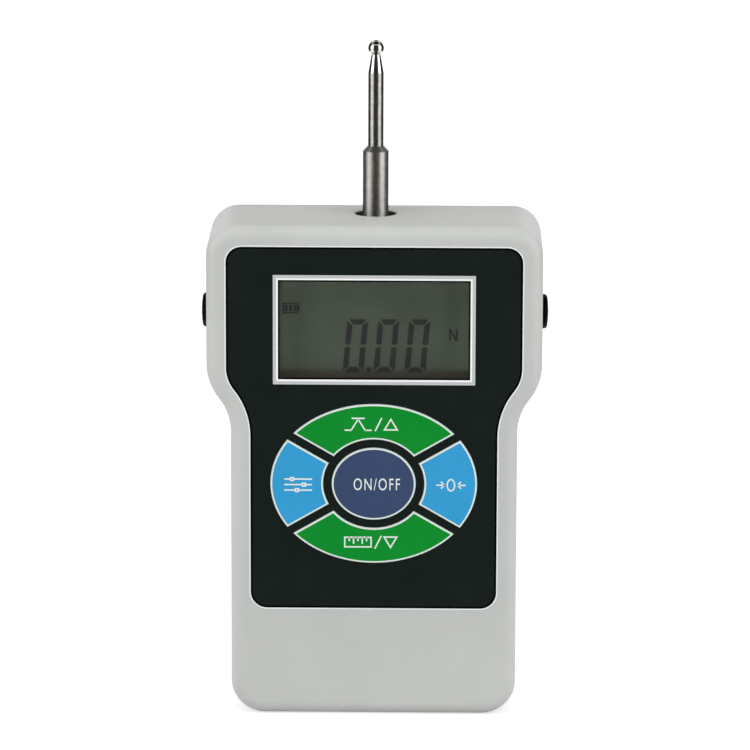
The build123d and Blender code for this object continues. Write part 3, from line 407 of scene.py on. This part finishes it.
def lacquered_jacket(base_z, top_z):
    """Lacquered steel battery jacket: dark blue body with a plain silver band at its head."""
    material, tree, shader, place = new_finish("lacquered_jacket", IOR=1.5, Coat_Weight=0.5)
    height = add(tree, "ShaderNodeSeparateXYZ", {"Vector": place}).outputs["Z"]
    band = add(tree, "ShaderNodeMath", {0: height, 1: base_z + 0.72 * (top_z - base_z)},
               operation="GREATER_THAN").outputs["Value"]
    mixed = add(tree, "ShaderNodeMix",
                {"Factor": band, MIX_A: linear("#1F3558"), MIX_B: linear("#B8BABC")},
                data_type="RGBA")
    fill(tree, shader, {"Base Color": mixed.outputs[MIX_RESULT], "Metallic": band})
    noise = add(tree, "ShaderNodeTexNoise", {"Vector": place, "Scale": per_metre(3.0)})
    uneven_gloss(tree, shader, noise, 0.25, 0.4)
    return material


# ---------------------------------------------------------------- mesh helpers
def flat_face(shape, corners, y):
    """A flat face through (x, z) corners given anticlockwise as seen from the front."""
    face = shape.faces.new([shape.verts.new((x, y, z)) for x, z in corners])
    face.normal_update()
    return face


def bar(shape, start, end, width, y):
    """A straight printed stroke between two (x, z) points."""
    along = (Vector(end) - Vector(start)).normalized()
    side = Vector((-along.y, along.x)) * width / 2
    a, b = Vector(start), Vector(end)
    flat_face(shape, [a - side, b - side, b + side, a + side], y)


def closed_line(shape, corners, width, y):
    """A printed outline along the inside of a polygon, with mitred corners."""
    face = flat_face(shape, corners, y)
    bmesh.ops.inset_region(shape, faces=[face], thickness=width, use_even_offset=True,
                           use_boundary=True)
    bmesh.ops.delete(shape, geom=[face], context="FACES_ONLY")


def round_line(shape, centre, radius, width, y, stretch):
    """A printed ring, stretched or squeezed sideways into an oval."""
    loops = []
    for reach in (radius, radius - width):
        made = bmesh.ops.create_circle(shape, cap_ends=False, segments=40, radius=reach)
        turn = Matrix.Translation((centre[0], y, centre[1])) @ Matrix.Rotation(pi / 2, 4, "X")
        squeeze = Matrix.Diagonal((1 + (stretch - 1) * radius / reach, 1, 1, 1))
        bmesh.ops.transform(shape, matrix=turn @ squeeze, verts=made["verts"])
        loops += {edge for vert in made["verts"] for edge in vert.link_edges}
    bmesh.ops.bridge_loops(shape, edges=loops)


def lettering(shape, words, centre, width, height, y, spacing):
    """Plain sans letters fitted into a width and height, facing the front."""
    curve = bpy.data.curves.new("lettering", "FONT")
    curve.body = words
    curve.space_character = spacing
    holder = bpy.data.objects.new("lettering", curve)
    bpy.context.scene.collection.objects.link(holder)
    bpy.context.view_layer.update()
    mesh = bpy.data.meshes.new_from_object(holder)
    bpy.data.objects.remove(holder)
    low = Vector([min(v.co[i] for v in mesh.vertices) for i in range(2)])
    high = Vector([max(v.co[i] for v in mesh.vertices) for i in range(2)])
    fit = Matrix.Diagonal((width / (high.x - low.x), height / (high.y - low.y), 1, 1))
    middle = Matrix.Translation(((low.x + high.x) / -2, (low.y + high.y) / -2, 0))
    stand = Matrix.Translation((centre[0], y, centre[1])) @ Matrix.Rotation(pi / 2, 4, "X")
    mesh.transform(stand @ fit @ middle)
    shape.from_mesh(mesh)


def raise_print(shape, rise):
    """Gives the flat faces a thickness towards the front, as a closed solid."""
    bmesh.ops.recalc_face_normals(shape, faces=shape.faces)
    for face in shape.faces:
        face.normal_update()
        if face.normal.y > 0:
            face.normal_flip()
    grown = bmesh.ops.extrude_face_region(shape, geom=list(shape.faces), use_keep_orig=True)
    moved = [part for part in grown["geom"] if isinstance(part, bmesh.types.BMVert)]
    bmesh.ops.translate(shape, verts=moved, vec=(0, -rise, 0))
    bmesh.ops.recalc_face_normals(shape, faces=shape.faces)


def as_object(name, shape, material):
    """Turns the bmesh into an object with this material."""
    mesh = bpy.data.meshes.new(name)
    shape.to_mesh(mesh)
    shape.free()
    mesh.materials.append(material)
    made = bpy.data.objects.new(name, mesh)
    bpy.context.scene.collection.objects.link(made)
    return made


def make_piece(name, shape, material, body):
    """A piece that rides on a body."""
    piece = as_object(name, shape, material)
    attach(piece, body)


def front_outline(node_name):
    """One flat face inside the outermost edge of a solid's flat front."""
    shape = bmesh.new()
    shape.from_mesh(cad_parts[node_name].data)
    bmesh.ops.remove_doubles(shape, verts=shape.verts, dist=1e-6)
    front = min(vert.co.y for vert in shape.verts)
    behind = [vert for vert in shape.verts if vert.co.y > front + 1e-6]
    bmesh.ops.delete(shape, geom=behind, context="VERTS")
    leftmost = min(shape.verts, key=lambda vert: vert.co.x)
    rim = [edge for edge in shape.edges if edge.is_boundary]
    outer, ends = set(), {leftmost}
    while ends:
        reached = {edge for edge in rim if edge not in outer and ends & set(edge.verts)}
        outer |= reached
        ends = {vert for edge in reached for vert in edge.verts} - ends
    inner = [edge for edge in shape.edges if edge not in outer]
    bmesh.ops.delete(shape, geom=inner, context="EDGES_FACES")
    loose = [vert for vert in shape.verts if not vert.link_edges]
    bmesh.ops.delete(shape, geom=loose, context="VERTS")
    for edge in [edge for edge in shape.edges if edge.link_faces]:
        bmesh.ops.delete(shape, geom=list(edge.link_faces), context="FACES_ONLY")
    face = bmesh.ops.contextual_create(shape, geom=list(shape.edges))["faces"][0]
    face.normal_update()
    if face.normal.y > 0:
        face.normal_flip()
    return shape, face


def edge_line(node_name, width):
    """A flat line inside the outermost edge of a solid's flat front; a negative one is outside."""
    shape, face = front_outline(node_name)
    bmesh.ops.inset_region(shape, faces=[face], thickness=width, use_even_offset=True,
                           use_boundary=True)
    bmesh.ops.delete(shape, geom=[face], context="FACES_ONLY")
    return shape


# ---------------------------------------------------------------- properties
COLOUR = {"subtype": "COLOR", "size": 4, "min": 0, "max": 1}
LENGTH = {"unit": "LENGTH", "precision": 5}


class GaugeColours(bpy.types.PropertyGroup):
    """Colours of the gauge's visible finishes."""
    case: FloatVectorProperty(
        name="Case", description="Moulded ABS of the case", default=linear("#C5C7C4"), **COLOUR)
    panel: FloatVectorProperty(
        name="Panel", description="Black membrane panel", default=linear("#151F1B"), **COLOUR)
    green: FloatVectorProperty(
        name="Green keys", description="Peak and unit keys", default=linear("#00902B"), **COLOUR)
    blue: FloatVectorProperty(
        name="Blue keys", description="Set and zero keys", default=linear("#33A1D8"), **COLOUR)
    navy: FloatVectorProperty(
        name="Power key", description="Middle key", default=linear("#3B4C70"), **COLOUR)
    ink: FloatVectorProperty(
        name="Print", description="White ink of the legends and outlines",
        default=linear("#EAF2EE"), **COLOUR)
    display: FloatVectorProperty(
        name="Display", description="Display background", default=linear("#4E574A"), **COLOUR)
    segment: FloatVectorProperty(
        name="Segments", description="Display digits", default=linear("#2B2B2B"), **COLOUR)
    button: FloatVectorProperty(
        name="Side buttons", description="Black push buttons", default=linear("#010101"),
        **COLOUR)


class GaugeSizes(bpy.types.PropertyGroup):
    """Sizes of the prints and the display's characters."""
    outline: FloatProperty(
        name="Key outline", description="Width of the line round each key",
        default=0.27 * MM, **LENGTH)
    border: FloatProperty(
        name="Window border", description="Width of the print round the window",
        default=1.15 * MM, **LENGTH)
    stroke: FloatProperty(
        name="Legend stroke", description="Line width of the key symbols",
        default=0.33 * MM, **LENGTH)
    ink_rise: FloatProperty(
        name="Ink rise", description="Thickness of the printed ink", default=0.03 * MM, **LENGTH)
    digit_height: FloatProperty(
        name="Digit height", description="Height of a display digit", default=12.5 * MM, **LENGTH)
    digit_width: FloatProperty(
        name="Digit width", description="Width of a display digit", default=4.86 * MM, **LENGTH)
    digit_pitch: FloatProperty(
        name="Digit pitch", description="Distance from digit to digit", default=7.1 * MM,
        **LENGTH)
    segment_width: FloatProperty(
        name="Segment width", description="Width of a digit's stroke", default=1.3 * MM, **LENGTH)
    digit_lean: FloatProperty(
        name="Digit lean", description="Slope of the digits", default=radians(5.3),
        subtype="ANGLE")


# ---------------------------------------------------------------- operators
class ForceGaugeStage(bpy.types.Operator):
    """Lays the pale floor, lights it softly, hangs dark cards for the steel and sets the camera"""
    bl_idname = "force_gauge.stage"
    bl_label = "Stage"

    def execute(self, context):
        scene = context.scene
        scene.view_settings.view_transform = "Standard"
        self.floor()
        self.sky(scene)
        self.lamps(scene)
        self.cards()
        self.camera(scene)
        return {"FINISHED"}

    def seen(self, tree):
        """1 for rays from the camera, from mirrors and through glass, otherwise 0."""
        rays = add(tree, "ShaderNodeLightPath").outputs
        glossy = add(tree, "ShaderNodeMath",
                     {0: rays["Is Camera Ray"], 1: rays["Is Glossy Ray"]}, operation="MAXIMUM")
        return add(tree, "ShaderNodeMath",
                   {0: glossy.outputs["Value"], 1: rays["Is Transmission Ray"]},
                   operation="MAXIMUM").outputs["Value"]

    def floor(self):
        """White paper floor, 14 m square, that keeps a soft shadow."""
        paper_glow = 0.57
        shape = bmesh.new()
        bmesh.ops.create_grid(shape, x_segments=1, y_segments=1, size=7.0)
        material, tree, shader, _ = new_finish(
            "white_paper", Base_Color=linear("#CECECE"), Roughness=0.9, Specular_IOR_Level=0.0,
            Emission_Color=linear("#FFFFFF"))
        glow = add(tree, "ShaderNodeMath", {0: self.seen(tree), 1: paper_glow},
                   operation="MULTIPLY")
        fill(tree, shader, {"Emission Strength": glow.outputs["Value"]})
        as_object("floor", shape, material)

    def sky(self, scene):
        """Even grey light from all round, white where it is seen."""
        world = bpy.data.worlds.new("studio")
        world.use_nodes = True
        scene.world = world
        tree = world.node_tree
        strength = add(tree, "ShaderNodeMapRange",
                       {"Value": self.seen(tree), "To Min": 0.7, "To Max": 1.0})
        fill(tree, tree.nodes["Background"],
             {"Color": linear("#FFFFFF"), "Strength": strength.outputs["Result"]})

    def lamps(self, scene):
        """Four large softboxes: one over the gauge, one at each side and a weak one behind it."""
        gauge_middle = Vector((0, 0, 0.08))
        for name, place, size, power, mirrored in (
            ("lamp_above", (0.0, -0.4, 1.5), 1.4, 4.2, False),
            ("lamp_left", (-1.25, -0.65, 0.45), 0.9, 6.5, True),
            ("lamp_right", (1.25, -0.65, 0.45), 0.9, 7.0, True),
            ("lamp_behind", (0.0, 1.35, 0.75), 1.2, 3.0, False),
        ):
            light = bpy.data.lights.new(name, "AREA")
            light.size = size
            light.energy = power
            lamp = bpy.data.objects.new(name, light)
            scene.collection.objects.link(lamp)
            aim = (gauge_middle - Vector(place)).to_track_quat("-Z", "Y")
            lamp.matrix_world = Matrix.Translation(place) @ aim.to_matrix().to_4x4()
            lamp.visible_glossy = mirrored

    def cards(self):
        """Black cards that only mirrors and glass see, so that gloss has something dark in it."""
        black = new_finish("black_card", Base_Color=linear("#3C3C3C"), Specular_IOR_Level=0.0)[0]
        far, high, low = 1.6, 1.9, 0.003
        cards = [("card_above", 0, 360, 0.0, 1.2, high, high)]
        # degrees round the gauge from its front, and where the strip on the floor begins
        for name, start, end, inner in (
            ("front", -36, 36, 0.055),
            ("right", 82, 147, 0.30),
            ("behind", 171, 189, 0.30),
            ("left", 213, 278, 0.30),
        ):
            cards.append((f"card_{name}", start, end, far, far, 0.0, high))
            cards.append((f"card_{name}_table", start, end, inner, far, low, low))
        for name, start, end, inner, outer, foot, head in cards:
            shape = bmesh.new()
            reach = [shape.verts.new((0, -inner, foot)), shape.verts.new((0, -outer, head))]
            strip = shape.edges.new(reach)
            bmesh.ops.rotate(shape, verts=shape.verts, cent=(0, 0, 0),
                             matrix=Matrix.Rotation(radians(start), 3, "Z"))
            bmesh.ops.spin(shape, geom=reach + [strip], cent=(0, 0, 0), axis=(0, 0, 1),
                           angle=radians(end - start), steps=24, use_merge=end - start == 360)
            card = as_object(name, shape, black)
            card.visible_camera = False
            card.visible_diffuse = False
            card.visible_shadow = False

    def camera(self, scene):
        """A long lens about 1.1 m in front, a little above the gauge."""
        pitch, yaw, roll = radians(12.319), radians(0.712), radians(0.173)
        target = Vector((0.029, 0.0, 77.48)) * MM
        distance = 1115.7 * MM
        back = Vector((sin(yaw) * cos(pitch), -cos(yaw) * cos(pitch), sin(pitch)))
        right = (-back).cross(Vector((0, 0, 1))).normalized()
        up = right.cross(-back)
        across = right * cos(roll) + up * sin(roll)
        upward = up * cos(roll) - right * sin(roll)
        lens = bpy.data.cameras.new("camera")
        lens.sensor_width = 36.0
        lens.lens = 230.7768
        lens.clip_end = 50.0
        camera = bpy.data.objects.new("camera", lens)
        scene.collection.objects.link(camera)
        turn = Matrix((across, upward, back)).transposed().to_4x4()
        camera.matrix_world = Matrix.Translation(target + back * distance) @ turn
        scene.camera = camera


class ForceGaugeCase(bpy.types.Operator):
    """Finishes the front housing, the rear cover and the battery door"""
    bl_idname = "force_gauge.case"
    bl_label = "Case"

    def execute(self, context):
        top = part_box("front_housing")[1].z
        low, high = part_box("measuring_shaft")
        finish = spark_eroded_abs(context.scene.gauge_colours.case, (low.y + high.y) / 2, top)
        dress(finish, "front_housing", "rear_cover", "battery_door")
        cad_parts["front_housing"].visible_glossy = False
        return {"FINISHED"}


class ForceGaugePanel(bpy.types.Operator):
    """Finishes the membrane panel, the window's printed border and the clear window"""
    bl_idname = "force_gauge.panel"
    bl_label = "Membrane panel"

    def execute(self, context):
        dress(hard_coated_polyester(context.scene.gauge_colours.panel), "membrane_overlay")
        low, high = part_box("window_frame")
        border = window_border_ink(high.x, (high.z - low.z) / 2, (high.z + low.z) / 2,
                                   context.scene.gauge_sizes.border)
        dress(border, "window_frame")
        dress(clear_polyester(), "display_window")
        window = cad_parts["display_window"]
        window.visible_diffuse = False
        window.visible_shadow = False
        self.edges(context)
        dress(plain_moulding("matt_polyester", ("#C9CBC6", "#D6D8D3"), (0.5, 0.65), 0.5),
              "dome_spacer", "membrane_circuit")
        dress(plated_steel("sprung_dome_steel", ("#B7B7B3", "#CFCFCB"), (0.2, 0.3)), "snap_domes")
        return {"FINISHED"}

    def edges(self, context):
        """A painted highlight as a pale line just outside the film's edge, a black line of painted
        shade just inside it, and the black line inside the border.
        """
        sizes = context.scene.gauge_sizes
        # painted highlight: the pale line round the outside of the film's edge
        pale = ink_and_painted_light("painted_highlight_edge", linear("#EEF3F2"))
        # painted shade: the black line inside the film's edge; the line inside the window's border
        # uses the same black
        black = ink_and_painted_light("thin_black_line", linear("#010202"), shine=0.03)
        window_line = bmesh.new()
        low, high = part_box("window_frame")
        left, right = low.x + sizes.border, high.x - sizes.border
        foot, head = low.z + sizes.border, high.z - sizes.border
        closed_line(window_line, ((left, foot), (right, foot), (right, head), (left, head)),
                    BORDER_LINE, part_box("display_window")[0].y)
        for name, shape, material, slot in (
            ("panel_painted_highlight", edge_line("membrane_overlay", -PALE_EDGE), pale, "case_plastic"),
            ("panel_painted_shade_line", edge_line("membrane_overlay", BLACK_EDGE), black, "panel_black"),
            ("window_black_line", window_line, black, "frame_print"),
        ):
            raise_print(shape, sizes.ink_rise)
            make_piece(name, shape, material, "case")


class ForceGaugeKeys(bpy.types.Operator):
    """Finishes the five keys and prints the line round each of them"""
    bl_idname = "force_gauge.keys"
    bl_label = "Keys"

    def execute(self, context):
        colours = context.scene.gauge_colours
        sizes = context.scene.gauge_sizes
        green = reverse_printed_key("key_green", colours.green)
        blue = reverse_printed_key("key_blue", colours.blue)
        navy = reverse_printed_key("key_navy", colours.navy)
        ink = ink_and_painted_light("key_outline_ink", colours.ink)
        for node, material, body, slot in (
            ("key_peak_up", green, "up_key", "key_green"),
            ("key_unit_down", green, "down_key", "key_green"),
            ("key_set", blue, "set_key", "key_blue"),
            ("key_zero", blue, "zero_key", "key_blue"),
            ("key_power", navy, "power_key", "key_navy"),
        ):
            dress(material, node)
            shape = edge_line(node, sizes.outline)
            raise_print(shape, sizes.ink_rise)
            make_piece(node.replace("key_", "outline_"), shape, ink, body)
        return {"FINISHED"}


class ForceGaugeLegends(bpy.types.Operator):
    """Prints the plain symbols on the keys: peak, unit, settings, zero, arrows and ON/OFF"""
    bl_idname = "force_gauge.legends"
    bl_label = "Key legends"

    # middles of the symbols, in millimetres
    peak_at, unit_at = (-3.5, 69.3), (-3.6, 41.5)
    settings_at, zero_at, power_at = (-17.35, 55.05), (17.75, 55.1), (0.72, 55.2)
    slash_x, arrow_x = 1.05, 3.9

    def execute(self, context):
        self.sizes = context.scene.gauge_sizes
        self.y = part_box("key_power")[0].y
        ink = ink_and_painted_light("legend_ink", context.scene.gauge_colours.ink)
        for name, draw, body, slot in (
            ("legend_peak_up", self.peak_up, "up_key", "key_green"),
            ("legend_unit_down", self.unit_down, "down_key", "key_green"),
            ("legend_set", self.settings, "set_key", "key_blue"),
            ("legend_zero", self.zero, "zero_key", "key_blue"),
            ("legend_power", self.power, "power_key", "key_navy"),
        ):
            shape = bmesh.new()
            draw(shape)
            raise_print(shape, self.sizes.ink_rise)
            make_piece(name, shape, ink, body)
        return {"FINISHED"}

    def places(self, middle, points):
        """Points given in millimetres about a middle, in metres."""
        return [((middle[0] + x) * MM, (middle[1] + z) * MM) for x, z in points]

    def line(self, shape, middle, *points):
        """Strokes from point to point."""
        places = self.places(middle, points)
        for start, end in zip(places, places[1:]):
            bar(shape, start, end, self.sizes.stroke, self.y)

    def loop(self, shape, middle, *corners):
        """A closed outline through corners."""
        closed_line(shape, self.places(middle, corners), self.sizes.stroke, self.y)

    def slash_and_arrow(self, shape, z, *corners):
        """The slash and the triangle that a green key's symbol is followed by."""
        self.line(shape, (self.slash_x, z), (-0.75, -1.55), (0.75, 1.55))
        self.loop(shape, (self.arrow_x, z), *corners)

    def peak_up(self, shape):
        self.line(shape, self.peak_at, (-3.2, -1.35), (-1.7, -1.35), (-0.1, 1.25), (1.5, -1.35),
                  (3.0, -1.35))
        self.line(shape, self.peak_at, (-1.6, 1.45), (1.4, 1.45))
        self.slash_and_arrow(shape, self.peak_at[1], (-1.75, -1.4), (1.75, -1.4), (0.0, 1.55))

    def unit_down(self, shape):
        self.loop(shape, self.unit_at, (-3.2, -1.3), (3.2, -1.3), (3.2, 1.3), (-3.2, 1.3))
        for x, reach in ((-2.0, 0.2), (-1.0, -0.4), (0.0, 0.2), (1.0, -0.4), (2.0, 0.2)):
            self.line(shape, self.unit_at, (x, 1.2), (x, reach))
        self.slash_and_arrow(shape, self.unit_at[1], (0.0, -1.55), (1.75, 1.4), (-1.75, 1.4))

    def settings(self, shape):
        for z, knob in ((1.3, -1.4), (0.0, 1.3), (-1.3, -0.3)):
            left, right, foot, head = knob - 0.5, knob + 0.5, z - 0.5, z + 0.5
            self.line(shape, self.settings_at, (-3.2, z), (left, z))
            self.line(shape, self.settings_at, (right, z), (3.2, z))
            self.loop(shape, self.settings_at, (left, foot), (right, foot), (right, head),
                      (left, head))

    def zero(self, shape):
        x, z = self.zero_at
        high, squeeze = 3.0, 0.68
        round_line(shape, (x * MM, z * MM), high / 2 * MM, self.sizes.stroke, self.y, squeeze)
        for side in (-1, 1):
            tip, barb, tail = side * 1.5, side * 2.3, side * 3.4
            self.line(shape, self.zero_at, (tail, 0.0), (tip, 0.0))
            self.line(shape, self.zero_at, (barb, 0.8), (tip, 0.0), (barb, -0.8))

    def power(self, shape):
        x, z = self.power_at
        wide, high, spacing = 10.65, 2.8, 1.22
        lettering(shape, "ON/OFF", (x * MM, z * MM), wide * MM, high * MM, self.y, spacing)


class ForceGaugeDisplay(bpy.types.Operator):
    """Finishes the display module and switches on its reading"""
    bl_idname = "force_gauge.display"
    bl_label = "Display"

    def execute(self, context):
        colours = context.scene.gauge_colours
        self.sizes = context.scene.gauge_sizes
        self.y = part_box("lcd_glass")[0].y
        low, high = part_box("window_frame")
        inside = Vector((self.sizes.border, 0, self.sizes.border))
        dress(reflective_lcd(colours.display, low + inside, high - inside), "lcd_glass")
        dress(plated_steel("reflector_foil", ("#9FA29B", "#B4B7B0"), (0.4, 0.5)), "lcd_reflector")
        dress(plain_moulding("striped_elastomer", ("#C77A8C", "#D8909F"), (0.6, 0.7), 0.4),
              "zebra_strips")
        dress(moulded_black("bezel_black", linear("#0F1011"), (0.5, 0.6), 0.4), "lcd_bezel")
        dark = segment_black(colours.segment)
        for name, draw in (("reading", self.reading), ("unit_sign", self.unit),
                           ("battery_sign", self.battery)):
            shape = bmesh.new()
            draw(shape)
            raise_print(shape, SEGMENT_RISE)
            make_piece(name, shape, dark, "case")
        return {"FINISHED"}

    def reading(self, shape):
        first_foot = Vector((-7.35, 80.6)) * MM
        for step in range(3):
            self.nought(shape, first_foot + Vector((step * self.sizes.digit_pitch, 0)))
        self.sloped(shape, first_foot, (5.5, 0.1), (6.6, 0.1), (6.6, 1.2), (5.5, 1.2))

    def sloped(self, shape, base, *corners):
        """A leaning face through corners in millimetres above a digit's foot."""
        slope = sin(self.sizes.digit_lean)
        places = [(base.x + (x + slope * z) * MM, base.y + z * MM) for x, z in corners]
        flat_face(shape, places, self.y)

    def nought(self, shape, base):
        """The six lit segments of a nought, with narrow gaps between them."""
        high = self.sizes.digit_height / MM
        wide = self.sizes.digit_width / MM
        bar_wide = self.sizes.segment_width / MM
        gap = 0.14
        mid = high / 2
        half = bar_wide / 2
        for foot, turn in ((0.0, 1), (high, -1)):
            self.sloped(shape, base, (3 * gap, foot), (wide - 3 * gap, foot),
                        (wide - bar_wide - gap, foot + turn * bar_wide),
                        (bar_wide + gap, foot + turn * bar_wide))
            for left, inwards in ((0.0, 1), (wide, -1)):
                self.sloped(shape, base, (left, foot + turn * 3 * gap),
                            (left + inwards * bar_wide, foot + turn * (bar_wide + gap)),
                            (left + inwards * bar_wide, mid - turn * (half / 2 + gap)),
                            (left + inwards * half, mid - turn * 1.5 * gap),
                            (left, mid - turn * (half / 2 + gap)))

    def unit(self, shape):
        left, right, foot, head, stroke = (part * MM for part in (17.28, 18.86, 88.15, 90.9, 0.42))
        for start, end in (((left, foot), (left, head)), ((left, head), (right, foot)),
                           ((right, foot), (right, head))):
            bar(shape, start, end, stroke, self.y)

    def battery(self, shape):
        left, right, foot, head, stroke = (part * MM for part in (-21.0, -17.5, 94.35, 96.85, 0.3))
        closed_line(shape, ((left, foot), (right, foot), (right, head), (left, head)), stroke,
                    self.y)
        for x, inset, width in ((-20.2, 0.5, 0.6), (-19.2, 0.5, 0.6), (-18.2, 0.5, 0.6),
                                (-17.3, 0.6, 0.4)):
            bar(shape, (x * MM, foot + inset * MM), (x * MM, head - inset * MM), width * MM,
                self.y)


class ForceGaugeProbe(bpy.types.Operator):
    """Finishes the contact probe, the measuring shaft and its nut"""
    bl_idname = "force_gauge.probe"
    bl_label = "Probe"

    def execute(self, context):
        cone_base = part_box("contact_probe")[1].z - CONE_AND_BALL
        dress(turned_stainless(cone_base - ROD_LENGTH, cone_base), "contact_probe",
              "measuring_shaft")
        dress(plated_steel("zinc_plated_nut", ("#A9AAA6", "#C2C3BF"), (0.28, 0.4)),
              "shaft_lock_nut")
        return {"FINISHED"}


class ForceGaugeButtons(bpy.types.Operator):
    """Finishes the side buttons and the switches behind them"""
    bl_idname = "force_gauge.buttons"
    bl_label = "Side buttons"

    def execute(self, context):
        colour = context.scene.gauge_colours.button
        dress(moulded_black("button_black", colour, (0.3, 0.42), 0.35, shine=0.04),
              "side_button_left", "side_button_right")
        dress(moulded_black("switch_black", linear("#1B1C1E"), (0.45, 0.55), 0.3),
              "side_switch_left", "side_switch_right", "switch_plunger_left",
              "switch_plunger_right")
        return {"FINISHED"}


class ForceGaugeFasteners(bpy.types.Operator):
    """Finishes the screws of the case, the chassis, the board and the load cell"""
    bl_idname = "force_gauge.fasteners"
    bl_label = "Fasteners"

    def execute(self, context):
        dress(plated_steel("black_oxide_steel", ("#2A2A2C", "#3A3A3D"), (0.35, 0.45)),
              "case_screws")
        dress(plated_steel("zinc_plated_steel", ("#AEB0B2", "#C6C8CA"), (0.25, 0.38)),
              "chassis_screws", "board_screws", "load_cell_screw")
        return {"FINISHED"}


class ForceGaugeMeasuring(bpy.types.Operator):
    """Finishes the load cell, its strain gauges, the chassis and the electronics"""
    bl_idname = "force_gauge.measuring"
    bl_label = "Measuring unit"

    def execute(self, context):
        dress(milled_aluminium("milled_cell_aluminium", ("#BFC1C4", "#D2D4D6")), "load_cell")
        dress(milled_aluminium("milled_chassis_aluminium", ("#A7A9AC", "#BCBEC1")),
              "load_cell_chassis")
        dress(plain_moulding("polyimide_foil", ("#B9701D", "#CE8530"), (0.3, 0.4), 0.3),
              "strain_gauges", "gauge_flex")
        dress(printed_board(linear("#14532D")), "main_board")
        dress(moulded_black("chip_epoxy", linear("#1A1A1C"), (0.5, 0.65), 0.3), "board_chips")
        dress(plain_moulding("ivory_nylon", ("#D9D2BC", "#E6E0CC"), (0.4, 0.5), 0.5),
              "tail_connector", "gauge_header")
        return {"FINISHED"}


class ForceGaugeBattery(bpy.types.Operator):
    """Finishes the battery, its terminals, the snap cap, the leads and the foam pad"""
    bl_idname = "force_gauge.battery"
    bl_label = "Battery"

    def execute(self, context):
        low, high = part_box("battery")
        dress(lacquered_jacket(low.z, high.z), "battery")
        dress(plated_steel("nickel_plate", ("#B9B4A8", "#D0CCC0"), (0.2, 0.32)),
              "battery_terminals")
        dress(moulded_black("cap_vinyl", linear("#1C1C1E"), (0.45, 0.6), 0.4), "battery_snap_cap")
        dress(plain_moulding("red_vinyl_lead", ("#8E1D1B", "#A82622"), (0.4, 0.5), 0.5),
              "battery_leads")
        dress(open_cell_foam(), "battery_pad")
        return {"FINISHED"}


class ForceGaugeSidebar(bpy.types.Panel):
    """Lists the gauge's pieces, sizes and colours"""
    bl_label = "Force gauge"
    bl_idname = "FORCEGAUGE_PT_sidebar"
    bl_space_type = "VIEW_3D"
    bl_region_type = "UI"
    bl_category = "Force gauge"

    def draw(self, context):
        for operator in OPERATORS:
            self.layout.operator(operator.bl_idname)
        for group in (context.scene.gauge_sizes, context.scene.gauge_colours):
            box = self.layout.box()
            for name in group.__annotations__:
                box.prop(group, name)


OPERATORS = (
    ForceGaugeStage,
    ForceGaugeCase,
    ForceGaugePanel,
    ForceGaugeKeys,
    ForceGaugeLegends,
    ForceGaugeDisplay,
    ForceGaugeProbe,
    ForceGaugeButtons,
    ForceGaugeFasteners,
    ForceGaugeMeasuring,
    ForceGaugeBattery,
)
CLASSES = (GaugeColours, GaugeSizes) + OPERATORS + (ForceGaugeSidebar,)


def register():
    for each in CLASSES:
        bpy.utils.register_class(each)
    bpy.types.Scene.gauge_colours = PointerProperty(type=GaugeColours)
    bpy.types.Scene.gauge_sizes = PointerProperty(type=GaugeSizes)


def unregister():
    del bpy.types.Scene.gauge_sizes
    del bpy.types.Scene.gauge_colours
    for each in reversed(CLASSES):
        bpy.utils.unregister_class(each)


def main():
    register()
    for operator in OPERATORS:
        group, name = operator.bl_idname.split(".")
        getattr(getattr(bpy.ops, group), name)()


if __name__ == "__main__":
    main()
